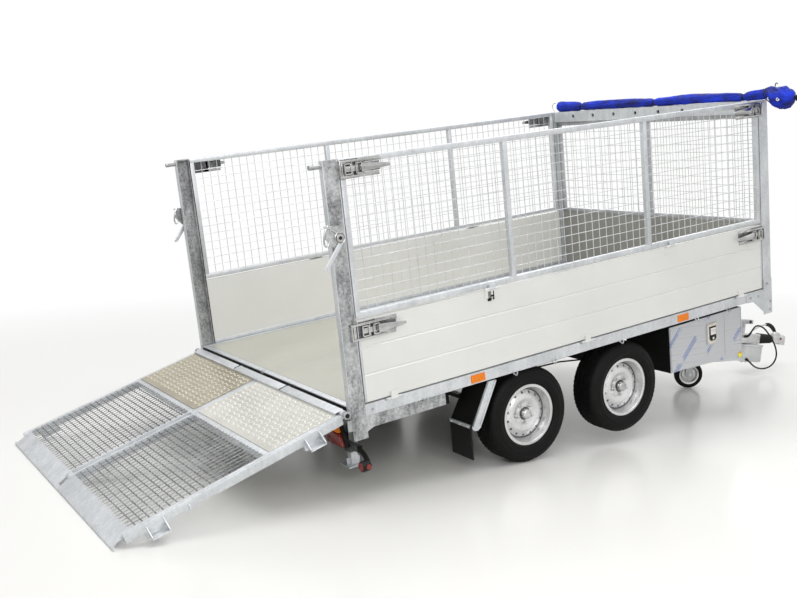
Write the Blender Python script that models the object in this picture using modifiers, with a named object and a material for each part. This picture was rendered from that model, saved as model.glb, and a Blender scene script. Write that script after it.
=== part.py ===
# Tandem-axle tipping trailer with mesh sides and a grated ramp tailgate.
# Every piece is modelled in the trailer's own frame: X forward from the rear sill,
# Y to the left, Z square to the load floor. One empty, "stance", then stands the
# whole trailer nose-high on its rear wheels and jockey wheel, as it parks.
import math

import bmesh
import bpy
from mathutils import Matrix, Vector

# stance
NOSE_UP = math.radians(7.05)
SILL_HEIGHT = 0.460
# the frame's origin is on the ground, under the middle of the whole trailer's box
MIDDLE_X = 1.68531
MIDDLE_Y = -0.07178

# bed
BED_LENGTH = 3.078
BED_WIDTH = 1.870
RAIL_HEIGHT = 0.058
RAIL_WIDTH = 0.042
FLOOR_THICK = 0.015
CROSS_DEPTH = 0.043
CROSS_WIDTH = 0.040
BEAM_SPACING = 0.900
BEAM_WIDTH = 0.060
BEAM_BOTTOM = -0.138
SKIRT_LENGTH = 0.540

# corner posts
POST_DEPTH = 0.0784
POST_THICK = 0.035
POST_BOTTOM = -0.166
POST_TOP = 1.157
PEG_RADIUS = 0.011
PEG_LENGTH = 0.062
PEG_INSET = 0.020

# drop sides and mesh panels
BOARD_THICK = 0.030
BOARD_BOTTOM = 0.006
BOARD_TOP = 0.405
MESH_BOTTOM = 0.414
MESH_TOP = 1.157
TUBE = 0.028
UPRIGHTS = (1.040, 2.030)
WIRE = 0.006
WIRE_PITCH = 0.240
PANEL_GAP = 0.006
HINGE_OUT = 0.010
KNUCKLE_RADIUS = 0.007
BOARD_HINGES = (0.243, 1.505, 2.779)
MESH_HINGES = (0.880, 2.190)

# ramp
RAMP_DROP = math.radians(12.18)
RAMP_AXIS = (-0.024, -0.030)
RAMP_LENGTH = 1.190
RAMP_WIDTH = 1.850
RAMP_SIDE = 0.030
RAMP_HEIGHT = 0.046
RAMP_RISE = 0.008
TREAD_END = 0.400
TIP_START = 1.090
BAR_WIDTH = 0.030
HINGE_BOSS = 0.019
LUG_OUTSIDE = 0.0025
MIDDLE_LUG = 0.300

# running gear
TYRE_RADIUS = 0.2635
TYRE_WIDTH = 0.185
TRACK_CENTRE = 0.8125
RIM_FLANGE = 0.167
AXLES = (("rear", 1.100, -0.334), ("front", 1.812, -0.356))
AXLE_TUBE = 0.066
AXLE_Z = -0.278
ARM_REACH = 0.160
STUB_RADIUS = 0.0200
DRUM_RADIUS = 0.112

# chassis
CHASSIS_TOP = -0.1440
CHASSIS_BOTTOM = -0.2340
CHASSIS_WIDTH = 0.060
RAIL_END = 0.134
KINK_X = 2.150
NOSE_X = 3.300
NOSE_Y = 0.062
TIP_AXIS = (0.140, -0.176)
PIN_RADIUS = 0.018
PIN_GAP = 0.0006

# hydraulic cylinder
RAM_FOOT = (0.850, -0.216)
RAM_EYE = (1.750, -0.116)
BARREL_RADIUS = 0.036
ROD_RADIUS = 0.020

# tool box
BOX_X = (2.215, 2.860)
BOX_Y = (0.520, 0.875)
BOX_Z = (-0.376, -0.096)
BOX_WALL = 0.004

# drawbar, coupling and jockey wheel
ARM_PIVOT = (3.345, -0.300)
HEAD_PIVOT = (3.879, -0.656)
HEAD_DROP = math.radians(13.9)
JOCKEY_X = 3.235
JOCKEY_Y = -0.150
JOCKEY_TURN = math.radians(-33.0)
JOCKEY_TRAIL = 0.045
JOCKEY_RADIUS = 0.100
JOCKEY_CENTRE = -0.7555
CABLE_RADIUS = 0.006

GAP = 0.0003
HALF = BED_WIDTH / 2
RAMP_HALF = RAMP_WIDTH / 2
OUTER_LUG = RAMP_HALF + LUG_OUTSIDE
RAMP_LUGS = (-OUTER_LUG, -MIDDLE_LUG, MIDDLE_LUG, OUTER_LUG)
PEG_Y = HALF - PEG_INSET
CROSS_BOTTOM = -FLOOR_THICK - GAP - CROSS_DEPTH
BEAM_TOP = CROSS_BOTTOM - GAP
RAIL_BOTTOM = -RAIL_HEIGHT - 0.003
SIDES = (("right", -1), ("left", 1))

for old in list(bpy.data.objects):
    bpy.data.objects.remove(old, do_unlink=True)

trailer = bpy.data.collections.new("tipping_trailer")
cutters = bpy.data.collections.new("cutters")
bpy.context.scene.collection.children.link(trailer)
bpy.context.scene.collection.children.link(cutters)


def stance_matrix():
    return Matrix.Translation((-MIDDLE_X, -MIDDLE_Y, SILL_HEIGHT)) @ Matrix.Rotation(-NOSE_UP, 4, "Y")


stance = bpy.data.objects.new("stance", None)
stance.matrix_world = stance_matrix()
trailer.objects.link(stance)


# name: colour, roughness, metallic
FINISHES = {
    "galvanised": ((0.52, 0.53, 0.54), 0.45, 0.9),
    "aluminium": ((0.80, 0.80, 0.76), 0.35, 0.6),
    "tread_plate": ((0.72, 0.71, 0.66), 0.35, 0.8),
    "floor_sheet": ((0.50, 0.52, 0.49), 0.55, 0.3),
    "stainless": ((0.66, 0.67, 0.69), 0.30, 0.95),
    "black_steel": ((0.02, 0.02, 0.02), 0.50, 0.3),
    "rim_silver": ((0.62, 0.62, 0.62), 0.35, 0.7),
    "tyre_rubber": ((0.02, 0.02, 0.02), 0.80, 0.0),
    "black_rubber": ((0.015, 0.015, 0.015), 0.70, 0.0),
    "red_lens": ((0.45, 0.02, 0.01), 0.20, 0.0),
    "grey_plastic": ((0.62, 0.64, 0.63), 0.45, 0.0),
    "cast_silver": ((0.60, 0.60, 0.60), 0.45, 0.8),
    "chrome": ((0.75, 0.75, 0.75), 0.12, 1.0),
    "blue_tarpaulin": ((0.02, 0.07, 0.45), 0.55, 0.0),
}


def finish(name):
    found = bpy.data.materials.get(name)
    if found:
        return found
    made = bpy.data.materials.new(name)
    made.use_nodes = True
    shader = made.node_tree.nodes["Principled BSDF"]
    colour, rough, metal = FINISHES[name]
    shader.inputs["Base Color"].default_value = (*colour, 1)
    shader.inputs["Roughness"].default_value = rough
    shader.inputs["Metallic"].default_value = metal
    made.diffuse_color = (*colour, 1)
    return made


def from_bmesh(name, bm):
    bmesh.ops.recalc_face_normals(bm, faces=bm.faces)
    mesh = bpy.data.meshes.new(name)
    bm.to_mesh(mesh)
    bm.free()
    obj = bpy.data.objects.new(name, mesh)
    cutters.objects.link(obj)
    return obj


def box(lo, hi, turn=None, about=(0, 0, 0)):
    """A block between two corners, turned by a matrix about a point."""
    lo, hi = Vector(lo), Vector(hi)
    bm = bmesh.new()
    bmesh.ops.create_cube(bm, size=1.0)
    size = [abs(b - a) for a, b in zip(lo, hi)]
    bmesh.ops.scale(bm, vec=size, verts=bm.verts)
    bmesh.ops.translate(bm, vec=(lo + hi) / 2, verts=bm.verts)
    if turn:
        bmesh.ops.transform(bm, verts=bm.verts, space=Matrix.Translation(-Vector(about)), matrix=turn)
    return from_bmesh("block", bm)


def rod(start, end, radius, sides=16, end_radius=None):
    """A cylinder, or a cone frustum, from one point to another."""
    start, end = Vector(start), Vector(end)
    bm = bmesh.new()
    bmesh.ops.create_cone(bm, cap_ends=True, segments=sides, radius1=radius,
                          radius2=radius if end_radius is None else end_radius,
                          depth=(end - start).length)
    aim = (end - start).to_track_quat("Z", "Y").to_matrix().to_4x4()
    bmesh.ops.transform(bm, verts=bm.verts, matrix=Matrix.Translation((start + end) / 2) @ aim)
    return from_bmesh("rod", bm)


def outline(points, depth, plane="XZ", level=0.0):
    """A flat outline extruded: XZ plates stand along the trailer, XY plates lie, YZ plates stand across."""
    curve = bpy.data.curves.new("outline", "CURVE")
    curve.dimensions = "2D"
    curve.fill_mode = "BOTH"
    curve.extrude = depth / 2
    spline = curve.splines.new("POLY")
    spline.points.add(len(points) - 1)
    for point, (a, b) in zip(spline.points, points):
        point.co = (a, b, 0, 1)
    spline.use_cyclic_u = True
    guide = bpy.data.objects.new("outline_guide", curve)
    cutters.objects.link(guide)
    place = {
        "XZ": Matrix.Translation((0, level, 0)) @ Matrix.Rotation(math.pi / 2, 4, "X"),
        "XY": Matrix.Translation((0, 0, level)),
        "YZ": Matrix.Translation((level, 0, 0)) @ Matrix(((0, 0, 1, 0), (1, 0, 0, 0), (0, 1, 0, 0), (0, 0,
                                                                                                     0, 1))),
    }[plane]
    return weld_curve(guide, place)


def weld_curve(guide, place=Matrix()):
    bpy.context.view_layer.update()
    graph = bpy.context.evaluated_depsgraph_get()
    mesh = bpy.data.meshes.new_from_object(guide.evaluated_get(graph))
    bm = bmesh.new()
    bm.from_mesh(mesh)
    bmesh.ops.remove_doubles(bm, verts=bm.verts, dist=0.00002)
    bmesh.ops.transform(bm, verts=bm.verts, matrix=place @ guide.matrix_world)
    bpy.data.objects.remove(guide, do_unlink=True)
    bpy.data.meshes.remove(mesh)
    return from_bmesh("outline", bm)


def pipe(points, radius, sides=2, radii=None):
    """A round bar along a poly line, with closed ends."""
    curve = bpy.data.curves.new("pipe", "CURVE")
    curve.dimensions = "3D"
    curve.bevel_depth = radius
    curve.bevel_resolution = sides
    curve.use_fill_caps = True
    spline = curve.splines.new("POLY")
    spline.points.add(len(points) - 1)
    for index, point in enumerate(points):
        spline.points[index].co = (*point, 1)
        spline.points[index].radius = radii[index] if radii else 1.0
    guide = bpy.data.objects.new("pipe_guide", curve)
    cutters.objects.link(guide)
    return weld_curve(guide)


def turned(profile, steps, centre, outward):
    """Turns a profile of (radius, height) pairs, listed down its outer side, about an axis along Y."""
    bm = bmesh.new()
    verts = [bm.verts.new((r, 0, h)) for r, h in profile]
    for a, b in zip(verts, verts[1:]):
        bm.edges.new((a, b))
    if profile[0][0] > 0:
        bm.edges.new((verts[-1], verts[0]))
    mesh = bpy.data.meshes.new("turned")
    bm.to_mesh(mesh)
    bm.free()
    obj = bpy.data.objects.new("turned", mesh)
    cutters.objects.link(obj)
    screw = obj.modifiers.new("turn", "SCREW")
    screw.axis = "Z"
    screw.steps = steps
    screw.render_steps = steps
    screw.use_merge_vertices = True
    screw.merge_threshold = 0.00005
    screw.use_normal_calculate = True
    place = Matrix.Translation(centre) @ Matrix.Rotation(-outward * math.pi / 2, 4, "X")
    return apply_all(obj, place)


def lattice(corner, far, across, up, wire, deep, plane_level, plane="XZ"):
    """A welded wire grid: a flat grid of cells turned into bars by a Wireframe modifier."""
    bm = bmesh.new()
    place = Matrix.Identity(4)
    bmesh.ops.create_grid(bm, x_segments=across, y_segments=up, size=0.5, matrix=place)
    width, height = far[0] - corner[0], far[1] - corner[1]
    bmesh.ops.scale(bm, vec=(width, height, 1), verts=bm.verts)
    bmesh.ops.translate(bm, vec=(corner[0] + width / 2, corner[1] + height / 2, 0), verts=bm.verts)
    obj = from_bmesh("lattice", bm)
    frame = obj.modifiers.new("bars", "WIREFRAME")
    frame.thickness = wire
    frame.use_boundary = True
    frame.use_replace = True
    frame.use_even_offset = True
    turn = {"XZ": Matrix.Rotation(math.pi / 2, 4, "X"), "XY": Matrix.Identity(4),
            "YZ": Matrix(((0, 0, 1, 0), (1, 0, 0, 0), (0, 1, 0, 0), (0, 0, 0, 1)))}[plane]
    shift = {"XZ": (0, plane_level, 0), "XY": (0, 0, plane_level), "YZ": (plane_level, 0, 0)}[plane]
    deepen = Matrix.Diagonal((1, 1, deep / wire, 1))
    return apply_all(obj, Matrix.Translation(shift) @ turn @ deepen)


def apply_all(obj, place=Matrix()):
    """Evaluates an object's modifiers and moves the result into place."""
    bpy.context.view_layer.update()
    graph = bpy.context.evaluated_depsgraph_get()
    mesh = bpy.data.meshes.new_from_object(obj.evaluated_get(graph))
    bm = bmesh.new()
    bm.from_mesh(mesh)
    bmesh.ops.transform(bm, verts=bm.verts, matrix=place)
    bpy.data.objects.remove(obj, do_unlink=True)
    bpy.data.meshes.remove(mesh)
    return from_bmesh("shape", bm)


def combine(base, pieces, how):
    """Adds one exact Boolean for each piece and hides the piece among the cutters."""
    for piece in pieces:
        step = base.modifiers.new(how.lower(), "BOOLEAN")
        step.operation = how
        step.object = piece
        piece.hide_render = True
        piece.display_type = "WIRE"
    return base


def part(name, material, pieces, cuts=(), pivot=(0, 0, 0), turn=None, sharp=35, parent=None):
    """Fuses pieces into one named sub-part whose origin is its pivot."""
    base = pieces[0]
    combine(base, pieces[1:], "UNION")
    combine(base, cuts, "DIFFERENCE")
    solid = apply_all(base)
    for spent in list(pieces[1:]) + list(cuts):
        bpy.data.objects.remove(spent, do_unlink=True)
    pivot = Vector(pivot)
    mesh = solid.data
    mesh.transform(Matrix.Translation(-pivot))
    mesh.shade_smooth()
    mesh.set_sharp_from_angle(angle=math.radians(sharp))
    mesh.name = name
    solid.name = name
    mesh.materials.append(finish(material))
    cutters.objects.unlink(solid)
    trailer.objects.link(solid)
    solid.parent = parent or stance
    solid.location = pivot
    if turn:
        solid.rotation_euler = turn
    return solid


def mirrored(points, side):
    return [(x, side * y, z) for x, y, z in points]


def sbox(side, lo, hi):
    """A block given on the left side, placed on either side."""
    ys = sorted((side * lo[1], side * hi[1]))
    return box((lo[0], ys[0], lo[2]), (hi[0], ys[1], hi[2]))


# chassis: two rails that close to a nose, cross members, tool box arms
def rail_plan(side):
    inner = BEAM_SPACING / 2 - CHASSIS_WIDTH / 2
    outer = BEAM_SPACING / 2 + CHASSIS_WIDTH / 2
    plan = [(RAIL_END, inner), (KINK_X, inner), (NOSE_X, 0.004), (NOSE_X, NOSE_Y), (KINK_X + 0.012, outer),
            (RAIL_END, outer)]
    return [(x, side * y) for x, y in plan]


chassis_height = CHASSIS_TOP - CHASSIS_BOTTOM
chassis_mid = (CHASSIS_TOP + CHASSIS_BOTTOM) / 2
rails = [outline(rail_plan(side), chassis_height, "XY", chassis_mid) for _, side in SIDES]
reach = BEAM_SPACING / 2
# cross members: x, half width, bottom, top
CROSS_MEMBERS = (
    (0.162, reach, CHASSIS_BOTTOM + 0.002, -0.196),
    (0.560, reach, CHASSIS_BOTTOM + 0.003, CHASSIS_TOP - 0.004),
    (2.100, reach, CHASSIS_BOTTOM + 0.004, CHASSIS_TOP - 0.005),
    (2.620, 0.290, CHASSIS_BOTTOM + 0.005, CHASSIS_TOP - 0.006),
)
members = [box((x - 0.025, -w, lo), (x + 0.025, w, hi)) for x, w, lo, hi in CROSS_MEMBERS]
foot_beam = box((RAM_FOOT[0] - 0.030, -reach, -0.306), (RAM_FOOT[0] + 0.030, reach, -0.262))
foot_hangers = [sbox(s, (RAM_FOOT[0] - 0.024, 0.425, -0.300), (RAM_FOOT[0] + 0.024, 0.475, -0.220)) for _,
                s in SIDES]
foot_ears = [sbox(s, (RAM_FOOT[0] - 0.026, 0.042, -0.270), (RAM_FOOT[0] + 0.026, 0.054, -0.192)) for _,
             s in SIDES]
foot_pin = rod((RAM_FOOT[0], -0.060, RAM_FOOT[1]), (RAM_FOOT[0], 0.060, RAM_FOOT[1]), 0.012, 12)
hinge_tube = rod((TIP_AXIS[0], -0.535, TIP_AXIS[1]), (TIP_AXIS[0], 0.535, TIP_AXIS[1]), PIN_RADIUS, 16)
nose = box((NOSE_X - 0.130, -0.066, CHASSIS_BOTTOM + 0.006), (NOSE_X + 0.004, 0.066, CHASSIS_TOP - 0.008))
cheeks = [sbox(s, (NOSE_X - 0.080, 0.0335, -0.345), (ARM_PIVOT[0] + 0.040, 0.0455, CHASSIS_BOTTOM + 0.040))
          for _, s in SIDES]
arm_pin = rod((ARM_PIVOT[0], -0.060, ARM_PIVOT[1]), (ARM_PIVOT[0], 0.060, ARM_PIVOT[1]), 0.014, 14)
box_arms = [box((x - 0.020, -BOX_Y[0] + GAP, -0.222), (x + 0.020, y, -0.182))
            for x, y in ((2.300, -0.395), (2.760, -0.240))]
box_pads = [box((x - 0.030, -BOX_Y[0] + GAP, -0.260), (x + 0.030, -BOX_Y[0] + 0.012, -0.140))
            for x in (2.300, 2.760)]
jockey_clamp = box((JOCKEY_X - 0.026, JOCKEY_Y + 0.029 + GAP, -0.215), (JOCKEY_X + 0.026, -0.055, -0.165))
# lamp bar hung behind the rear cross member, and the prop-stand sleeves
lamp_bar = box((0.062, -0.840, -0.262), (0.086, 0.840, -0.232))
lamp_posts = [sbox(s, (0.064, 0.424, -0.256), (0.160, 0.476, -0.226)) for _, s in SIDES]
sleeves = [sbox(s, (0.084, 0.676, -0.300), (0.134, 0.726, -0.200)) for _, s in SIDES]
sleeve_arms = [sbox(s, (0.092, 0.440, -0.245), (0.126, 0.690, -0.212)) for _, s in SIDES]
sleeve_bores = [sbox(s, (0.0895, 0.6815, -0.320), (0.1285, 0.7205, -0.180)) for _, s in SIDES]
part("chassis_frame", "galvanised",
     rails + members + [foot_beam, foot_pin, hinge_tube, nose, arm_pin, jockey_clamp, lamp_bar]
     + foot_hangers + foot_ears + cheeks + box_arms + box_pads + lamp_posts + sleeves + sleeve_arms,
     sleeve_bores)


# prop stands: a square leg in each sleeve, with a foot plate
STAND_FOOT = -0.372
for label, side in SIDES:
    leg = sbox(side, (0.0905, 0.6825, STAND_FOOT + 0.004), (0.1275, 0.7195, -0.140))
    foot = sbox(side, (0.058, 0.655, STAND_FOOT), (0.160, 0.747, STAND_FOOT + 0.006))
    webs = sbox(side, (0.072, 0.698, STAND_FOOT + 0.003), (0.146, 0.704, STAND_FOOT + 0.040))
    part(f"prop_stand_{label}", "galvanised", [leg, foot, webs], pivot=(0.109, side * 0.701, -0.250))


# axles: a square tube, seats under the rails, trailing arms, drums and stub shafts
for label, wheel_x, wheel_z in AXLES:
    tube_x = wheel_x + ARM_REACH
    half = AXLE_TUBE / 2
    pieces = [box((tube_x - half, -0.690, AXLE_Z - half), (tube_x + half, 0.690, AXLE_Z + half))]
    for _, side in SIDES:
        pieces.append(sbox(side, (tube_x - 0.070, 0.415, AXLE_Z + half - 0.004), (tube_x + 0.070, 0.485,
                                                                                 CHASSIS_BOTTOM - GAP)))
        drop = wheel_z - AXLE_Z
        angle = math.atan2(drop, -ARM_REACH)
        across = Vector((-math.sin(angle), math.cos(angle)))
        ends = ((tube_x, AXLE_Z, 0.045), (wheel_x, wheel_z, 0.036))
        rim_points = []
        for (cx, cz, r), flip in zip(ends, (1, -1)):
            for k in range(7):
                turn_by = math.pi * k / 6 * flip
                base = across * flip
                rx = base.x * math.cos(turn_by * flip) + base.y * math.sin(turn_by * flip)
                rz = -base.x * math.sin(turn_by * flip) + base.y * math.cos(turn_by * flip)
                rim_points.append((cx + r * rx, cz + r * rz))
        pieces.append(outline(rim_points, 0.028, "XZ", side * 0.698))
        pieces.append(rod((wheel_x, side * 0.708, wheel_z), (wheel_x, side * 0.8085, wheel_z), DRUM_RADIUS, 20))
        pieces.append(rod((wheel_x, side * 0.800, wheel_z), (wheel_x, side * 0.8640, wheel_z), STUB_RADIUS, 16))
    part(f"axle_{label}", "black_steel", pieces)


# wheels
# tyre section: radius, height from the wheel's centre towards its outer face
TYRE_HALF = [(0.1532, 0.0707), (0.1690, 0.0717), (0.1740, 0.0860), (0.2040, TYRE_WIDTH / 2), (0.2330, 0.0890),
             (0.2540, 0.0760), (TYRE_RADIUS, 0.0600)]
TYRE = TYRE_HALF[1:] + [(r, -h) for r, h in reversed(TYRE_HALF)] + [TYRE_HALF[0]]
TYRE = [(r, h) for r, h in TYRE]
# rim: from the hub cap across the dished disc to the outer flange, over the well and back inside
RIM = [(0, 0.0720), (0.0270, 0.0700), (0.0330, 0.0370), (0.0560, 0.0370), (0.0880, 0.0500), (0.1300, 0.0270),
       (0.1470, 0.0500), (0.1490, 0.0770), (RIM_FLANGE, 0.0770), (RIM_FLANGE, 0.0722), (0.1525, 0.0712),
       (0.1370, 0.0360), (0.1370, -0.0360), (0.1525, -0.0712), (RIM_FLANGE, -0.0722), (RIM_FLANGE, -0.0770),
       (0.1485, -0.0770), (0.1330, -0.0380), (0.1330, 0.0180), (0.0880, 0.0420), (0.0560, 0.0290),
       (0.0206, 0.0290), (0.0206, 0.0580), (0, 0.0580)]
for axle, wheel_x, wheel_z in AXLES:
    for label, side in SIDES:
        centre = (wheel_x, side * TRACK_CENTRE, wheel_z)
        part(f"tyre_{axle}_{label}", "tyre_rubber", [turned(TYRE, 22, centre, side)], pivot=centre, sharp=50)
        part(f"rim_{axle}_{label}", "rim_silver", [turned(RIM, 22, centre, side)], pivot=centre, sharp=40)


# mudguards: a sloping plate with an outer lip, a bracket to the rail and a flap
GUARD_TOP = (0.861, -0.079)
GUARD_FOOT = (0.713, -0.310)
for label, side in SIDES:
    (tx, tz), (fx, fz) = GUARD_TOP, GUARD_FOOT
    sheet = outline([(tx, tz), (fx, fz), (fx - 0.0034, fz + 0.0022), (tx - 0.0034, tz + 0.0022)],
                    0.200, "XZ", side * 0.805)
    lip = outline([(tx + 0.004, tz), (fx + 0.004, fz), (fx - 0.026, fz + 0.004), (tx - 0.024, tz + 0.0005)],
                  0.0040, "XZ", side * 0.9045)
    bar = sbox(side, (0.775, 0.480 + GAP, -0.196), (0.797, 0.720, -0.174))
    pad = sbox(side, (0.755, 0.480 + GAP, -0.215), (0.817, 0.486, -0.155))
    flap = sbox(side, (0.7060, 0.712, -0.478), (0.7120, 0.893, -0.292))
    part(f"mudguard_{label}", "black_steel", [sheet, lip, bar, pad, flap])


# rear lamps on the lamp bar, and marker lamps on rubber arms
for label, side in SIDES:
    lamp = sbox(side, (0.020, 0.590, -0.256), (0.062 - GAP, 0.780, -0.128))
    part(f"rear_lamp_{label}", "red_lens", [lamp])
    stem = mirrored([(0.070, 0.852, -0.248), (0.068, 0.885, -0.258), (0.062, 0.935, -0.278), (0.044, 0.962,
                                                                                              -0.284)],
                    side)
    head = rod((-0.004, side * 0.972, -0.284), (0.052, side * 0.972, -0.284), 0.026, 16)
    saddle = sbox(side, (0.060, 0.840 + GAP, -0.262), (0.088, 0.850, -0.232))
    part(f"marker_lamp_{label}", "black_rubber", [head, pipe(stem, 0.013), saddle])


# tool box: a folded box open to the outside, with a bottom-hinged door
box_shell = box((BOX_X[0], -BOX_Y[1] + 0.006, BOX_Z[0]), (BOX_X[1], -BOX_Y[0], BOX_Z[1]))
box_room = box((BOX_X[0] + BOX_WALL, -BOX_Y[1] - 0.010, BOX_Z[0] + BOX_WALL),
               (BOX_X[1] - BOX_WALL, -BOX_Y[0] - BOX_WALL, BOX_Z[1] - BOX_WALL))
part("tool_box", "stainless", [box_shell], [box_room])
DOOR_AXIS = (-BOX_Y[1] + 0.0015, BOX_Z[0] - 0.0010)
door = box((BOX_X[0], -BOX_Y[1], BOX_Z[0]), (BOX_X[1], -BOX_Y[1] + 0.0055, BOX_Z[1]))
paddle = box((2.535, -BOX_Y[1] - 0.007, -0.268), (2.625, -BOX_Y[1] + 0.002, -0.142))
part("tool_box_door", "stainless", [door, paddle], pivot=(BOX_X[0], *DOOR_AXIS))


# hydraulic cylinder
ram_dir = Vector((RAM_EYE[0] - RAM_FOOT[0], 0, RAM_EYE[1] - RAM_FOOT[1])).normalized()
foot_point = Vector((RAM_FOOT[0], 0, RAM_FOOT[1]))
eye_point = Vector((RAM_EYE[0], 0, RAM_EYE[1]))
ram_turn = ram_dir.to_track_quat("Z", "Y")


def ram_point(distance):
    return foot_point + ram_dir * distance


barrel = rod(ram_point(0.036), ram_point(0.660), BARREL_RADIUS, 20)
neck = rod(ram_point(0.014), ram_point(0.060), 0.020, 12)
barrel_eye = rod((RAM_FOOT[0], -0.036, RAM_FOOT[1]), (RAM_FOOT[0], 0.036, RAM_FOOT[1]), 0.026, 16)
barrel_bore = rod((RAM_FOOT[0], -0.050, RAM_FOOT[1]), (RAM_FOOT[0], 0.050, RAM_FOOT[1]), 0.012 + PIN_GAP, 12)
rod_bore = rod(ram_point(0.120), ram_point(0.700), ROD_RADIUS + PIN_GAP, 16)
part("tip_cylinder_barrel", "black_steel", [barrel, neck, barrel_eye], [barrel_bore, rod_bore],
     pivot=foot_point)
piston = rod(ram_point(0.130), ram_point(0.888), ROD_RADIUS, 16)
rod_eye = rod((RAM_EYE[0], -0.022, RAM_EYE[1]), (RAM_EYE[0], 0.022, RAM_EYE[1]), 0.024, 16)
eye_pin = rod((RAM_EYE[0], -0.0255, RAM_EYE[1]), (RAM_EYE[0], 0.0255, RAM_EYE[1]), 0.012, 12)
part("tip_cylinder_rod", "chrome", [piston, rod_eye, eye_pin], pivot=eye_point)


# bed frame: side rails, sills, cross members, long beams, hinge ears, skirts
def knuckles(side, axis_y, axis_z, x, web_to):
    """Two hinge rolls and their webs, either side of the leaf's own roll."""
    made = []
    for shift in (-0.034, 0.034):
        made.append(rod((x + shift - 0.013, side * axis_y, axis_z), (x + shift + 0.013, side * axis_y, axis_z),
                        KNUCKLE_RADIUS, 8))
        made.append(sbox(side, (x + shift - 0.0125, web_to, axis_z - 0.0068), (x + shift + 0.0125, axis_y,
                                                                              axis_z - 0.0006)))
    return made


HINGE_Y = HALF + HINGE_OUT
BOARD_AXIS_Z = -0.004
MESH_AXIS_Z = (BOARD_TOP + MESH_BOTTOM) / 2
frame_pieces = []
for _, side in SIDES:
    frame_pieces.append(sbox(side, (0.0, HALF - RAIL_WIDTH, RAIL_BOTTOM), (BED_LENGTH, HALF, -0.003)))
    for x in BOARD_HINGES:
        frame_pieces += knuckles(side, HINGE_Y, BOARD_AXIS_Z, x, HALF - 0.004)
CROSS_XS = (0.230, 0.640, 1.090, 1.540, RAM_EYE[0], 2.085, 2.585, BED_LENGTH - 0.093)
for x in CROSS_XS:
    frame_pieces.append(box((x - CROSS_WIDTH / 2, -HALF + 0.010, CROSS_BOTTOM),
                            (x + CROSS_WIDTH / 2, HALF - 0.010, -FLOOR_THICK - GAP)))
sills = [box((0.002, -HALF + 0.008, -0.059), (0.030, HALF - 0.008, -0.0045)),
         box((BED_LENGTH - 0.030, -HALF + 0.008, -0.059), (BED_LENGTH - 0.002, HALF - 0.008, -0.0045))]
ramp_lugs = []
for y in RAMP_LUGS:
    ramp_lugs.append(box((RAMP_AXIS[0] - 0.004, y - 0.0055, RAMP_AXIS[1] - 0.014),
                         (0.006, y + 0.0055, RAMP_AXIS[1] + 0.014)))
pin_end = OUTER_LUG + 0.0125
ramp_pin = rod((RAMP_AXIS[0], -pin_end, RAMP_AXIS[1]), (RAMP_AXIS[0], pin_end, RAMP_AXIS[1]), 0.008, 12)
part("bed_frame", "galvanised", frame_pieces + sills + [ramp_pin] + ramp_lugs)


# long beams under the cross members, each with the ear that turns on the chassis' hinge tube
ear_y = BEAM_SPACING / 2 + CHASSIS_WIDTH / 2 + 0.006
tip_x, tip_z = TIP_AXIS
ear = [(tip_x - 0.034, BEAM_TOP), (tip_x - 0.034, tip_z), (tip_x - 0.024, tip_z - 0.024), (tip_x,
                                                                                           tip_z - 0.034),
       (tip_x + 0.024, tip_z - 0.024), (tip_x + 0.034, tip_z), (tip_x + 0.160, -0.110), (tip_x + 0.160,
                                                                                         BEAM_TOP)]
for label, side in SIDES:
    beam_in, beam_out = BEAM_SPACING / 2 - BEAM_WIDTH / 2, BEAM_SPACING / 2 + BEAM_WIDTH / 2
    long_beam = sbox(side, (0.200, beam_in, BEAM_BOTTOM), (BED_LENGTH - 0.068, beam_out, BEAM_TOP))
    ear_plate = outline(ear, 0.012, "XZ", side * (ear_y + 0.006))
    ear_tie = sbox(side, (0.210, beam_out - 0.006, -0.112), (0.290, ear_y + 0.004, -0.070))
    hinge_bore = rod((tip_x, side * 0.470, tip_z), (tip_x, side * 0.520, tip_z), PIN_RADIUS + PIN_GAP, 16)
    part(f"bed_beam_{label}", "galvanised", [long_beam, ear_plate, ear_tie], [hinge_bore])


# bracket for the cylinder's eye, under its own cross member
eye_x, eye_z = RAM_EYE
bracket = [box((eye_x - 0.026, -0.060, BEAM_TOP - 0.008), (eye_x + 0.026, 0.060, BEAM_TOP))]
bracket += [sbox(s, (eye_x - 0.024, 0.026, -0.138), (eye_x + 0.024, 0.038, BEAM_TOP - 0.002)) for _, s in SIDES]
bracket += [rod((eye_x, s * 0.036, eye_z), (eye_x, s * 0.046, eye_z), 0.018, 12) for _, s in SIDES]
part("cylinder_bracket", "galvanised", bracket)

# the floor stops at the front board, which stands in the slot between floor and front sill
BOARD_X = (BED_LENGTH - 0.060, BED_LENGTH - 0.030 - GAP)
floor_edge = HALF - RAIL_WIDTH - 0.0008
part("bed_floor", "floor_sheet",
     [box((0.0308, -floor_edge, -FLOOR_THICK), (BOARD_X[0] - GAP, floor_edge, 0.0))])


# rear corner posts: a folded channel open inboard, a foot plate, a peg and a ramp hook
def post_channel(side, x0, x1, bottom, top):
    y0, y1, wall = HALF - POST_THICK, HALF, 0.004
    plan = [(x0, y1), (x1, y1), (x1, y0), (x1 - wall, y0), (x1 - wall, y1 - wall), (x0 + wall, y1 - wall),
            (x0 + wall, y0), (x0, y0)]
    return outline([(x, side * y) for x, y in plan], top - bottom, "XY", (top + bottom) / 2)


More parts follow.
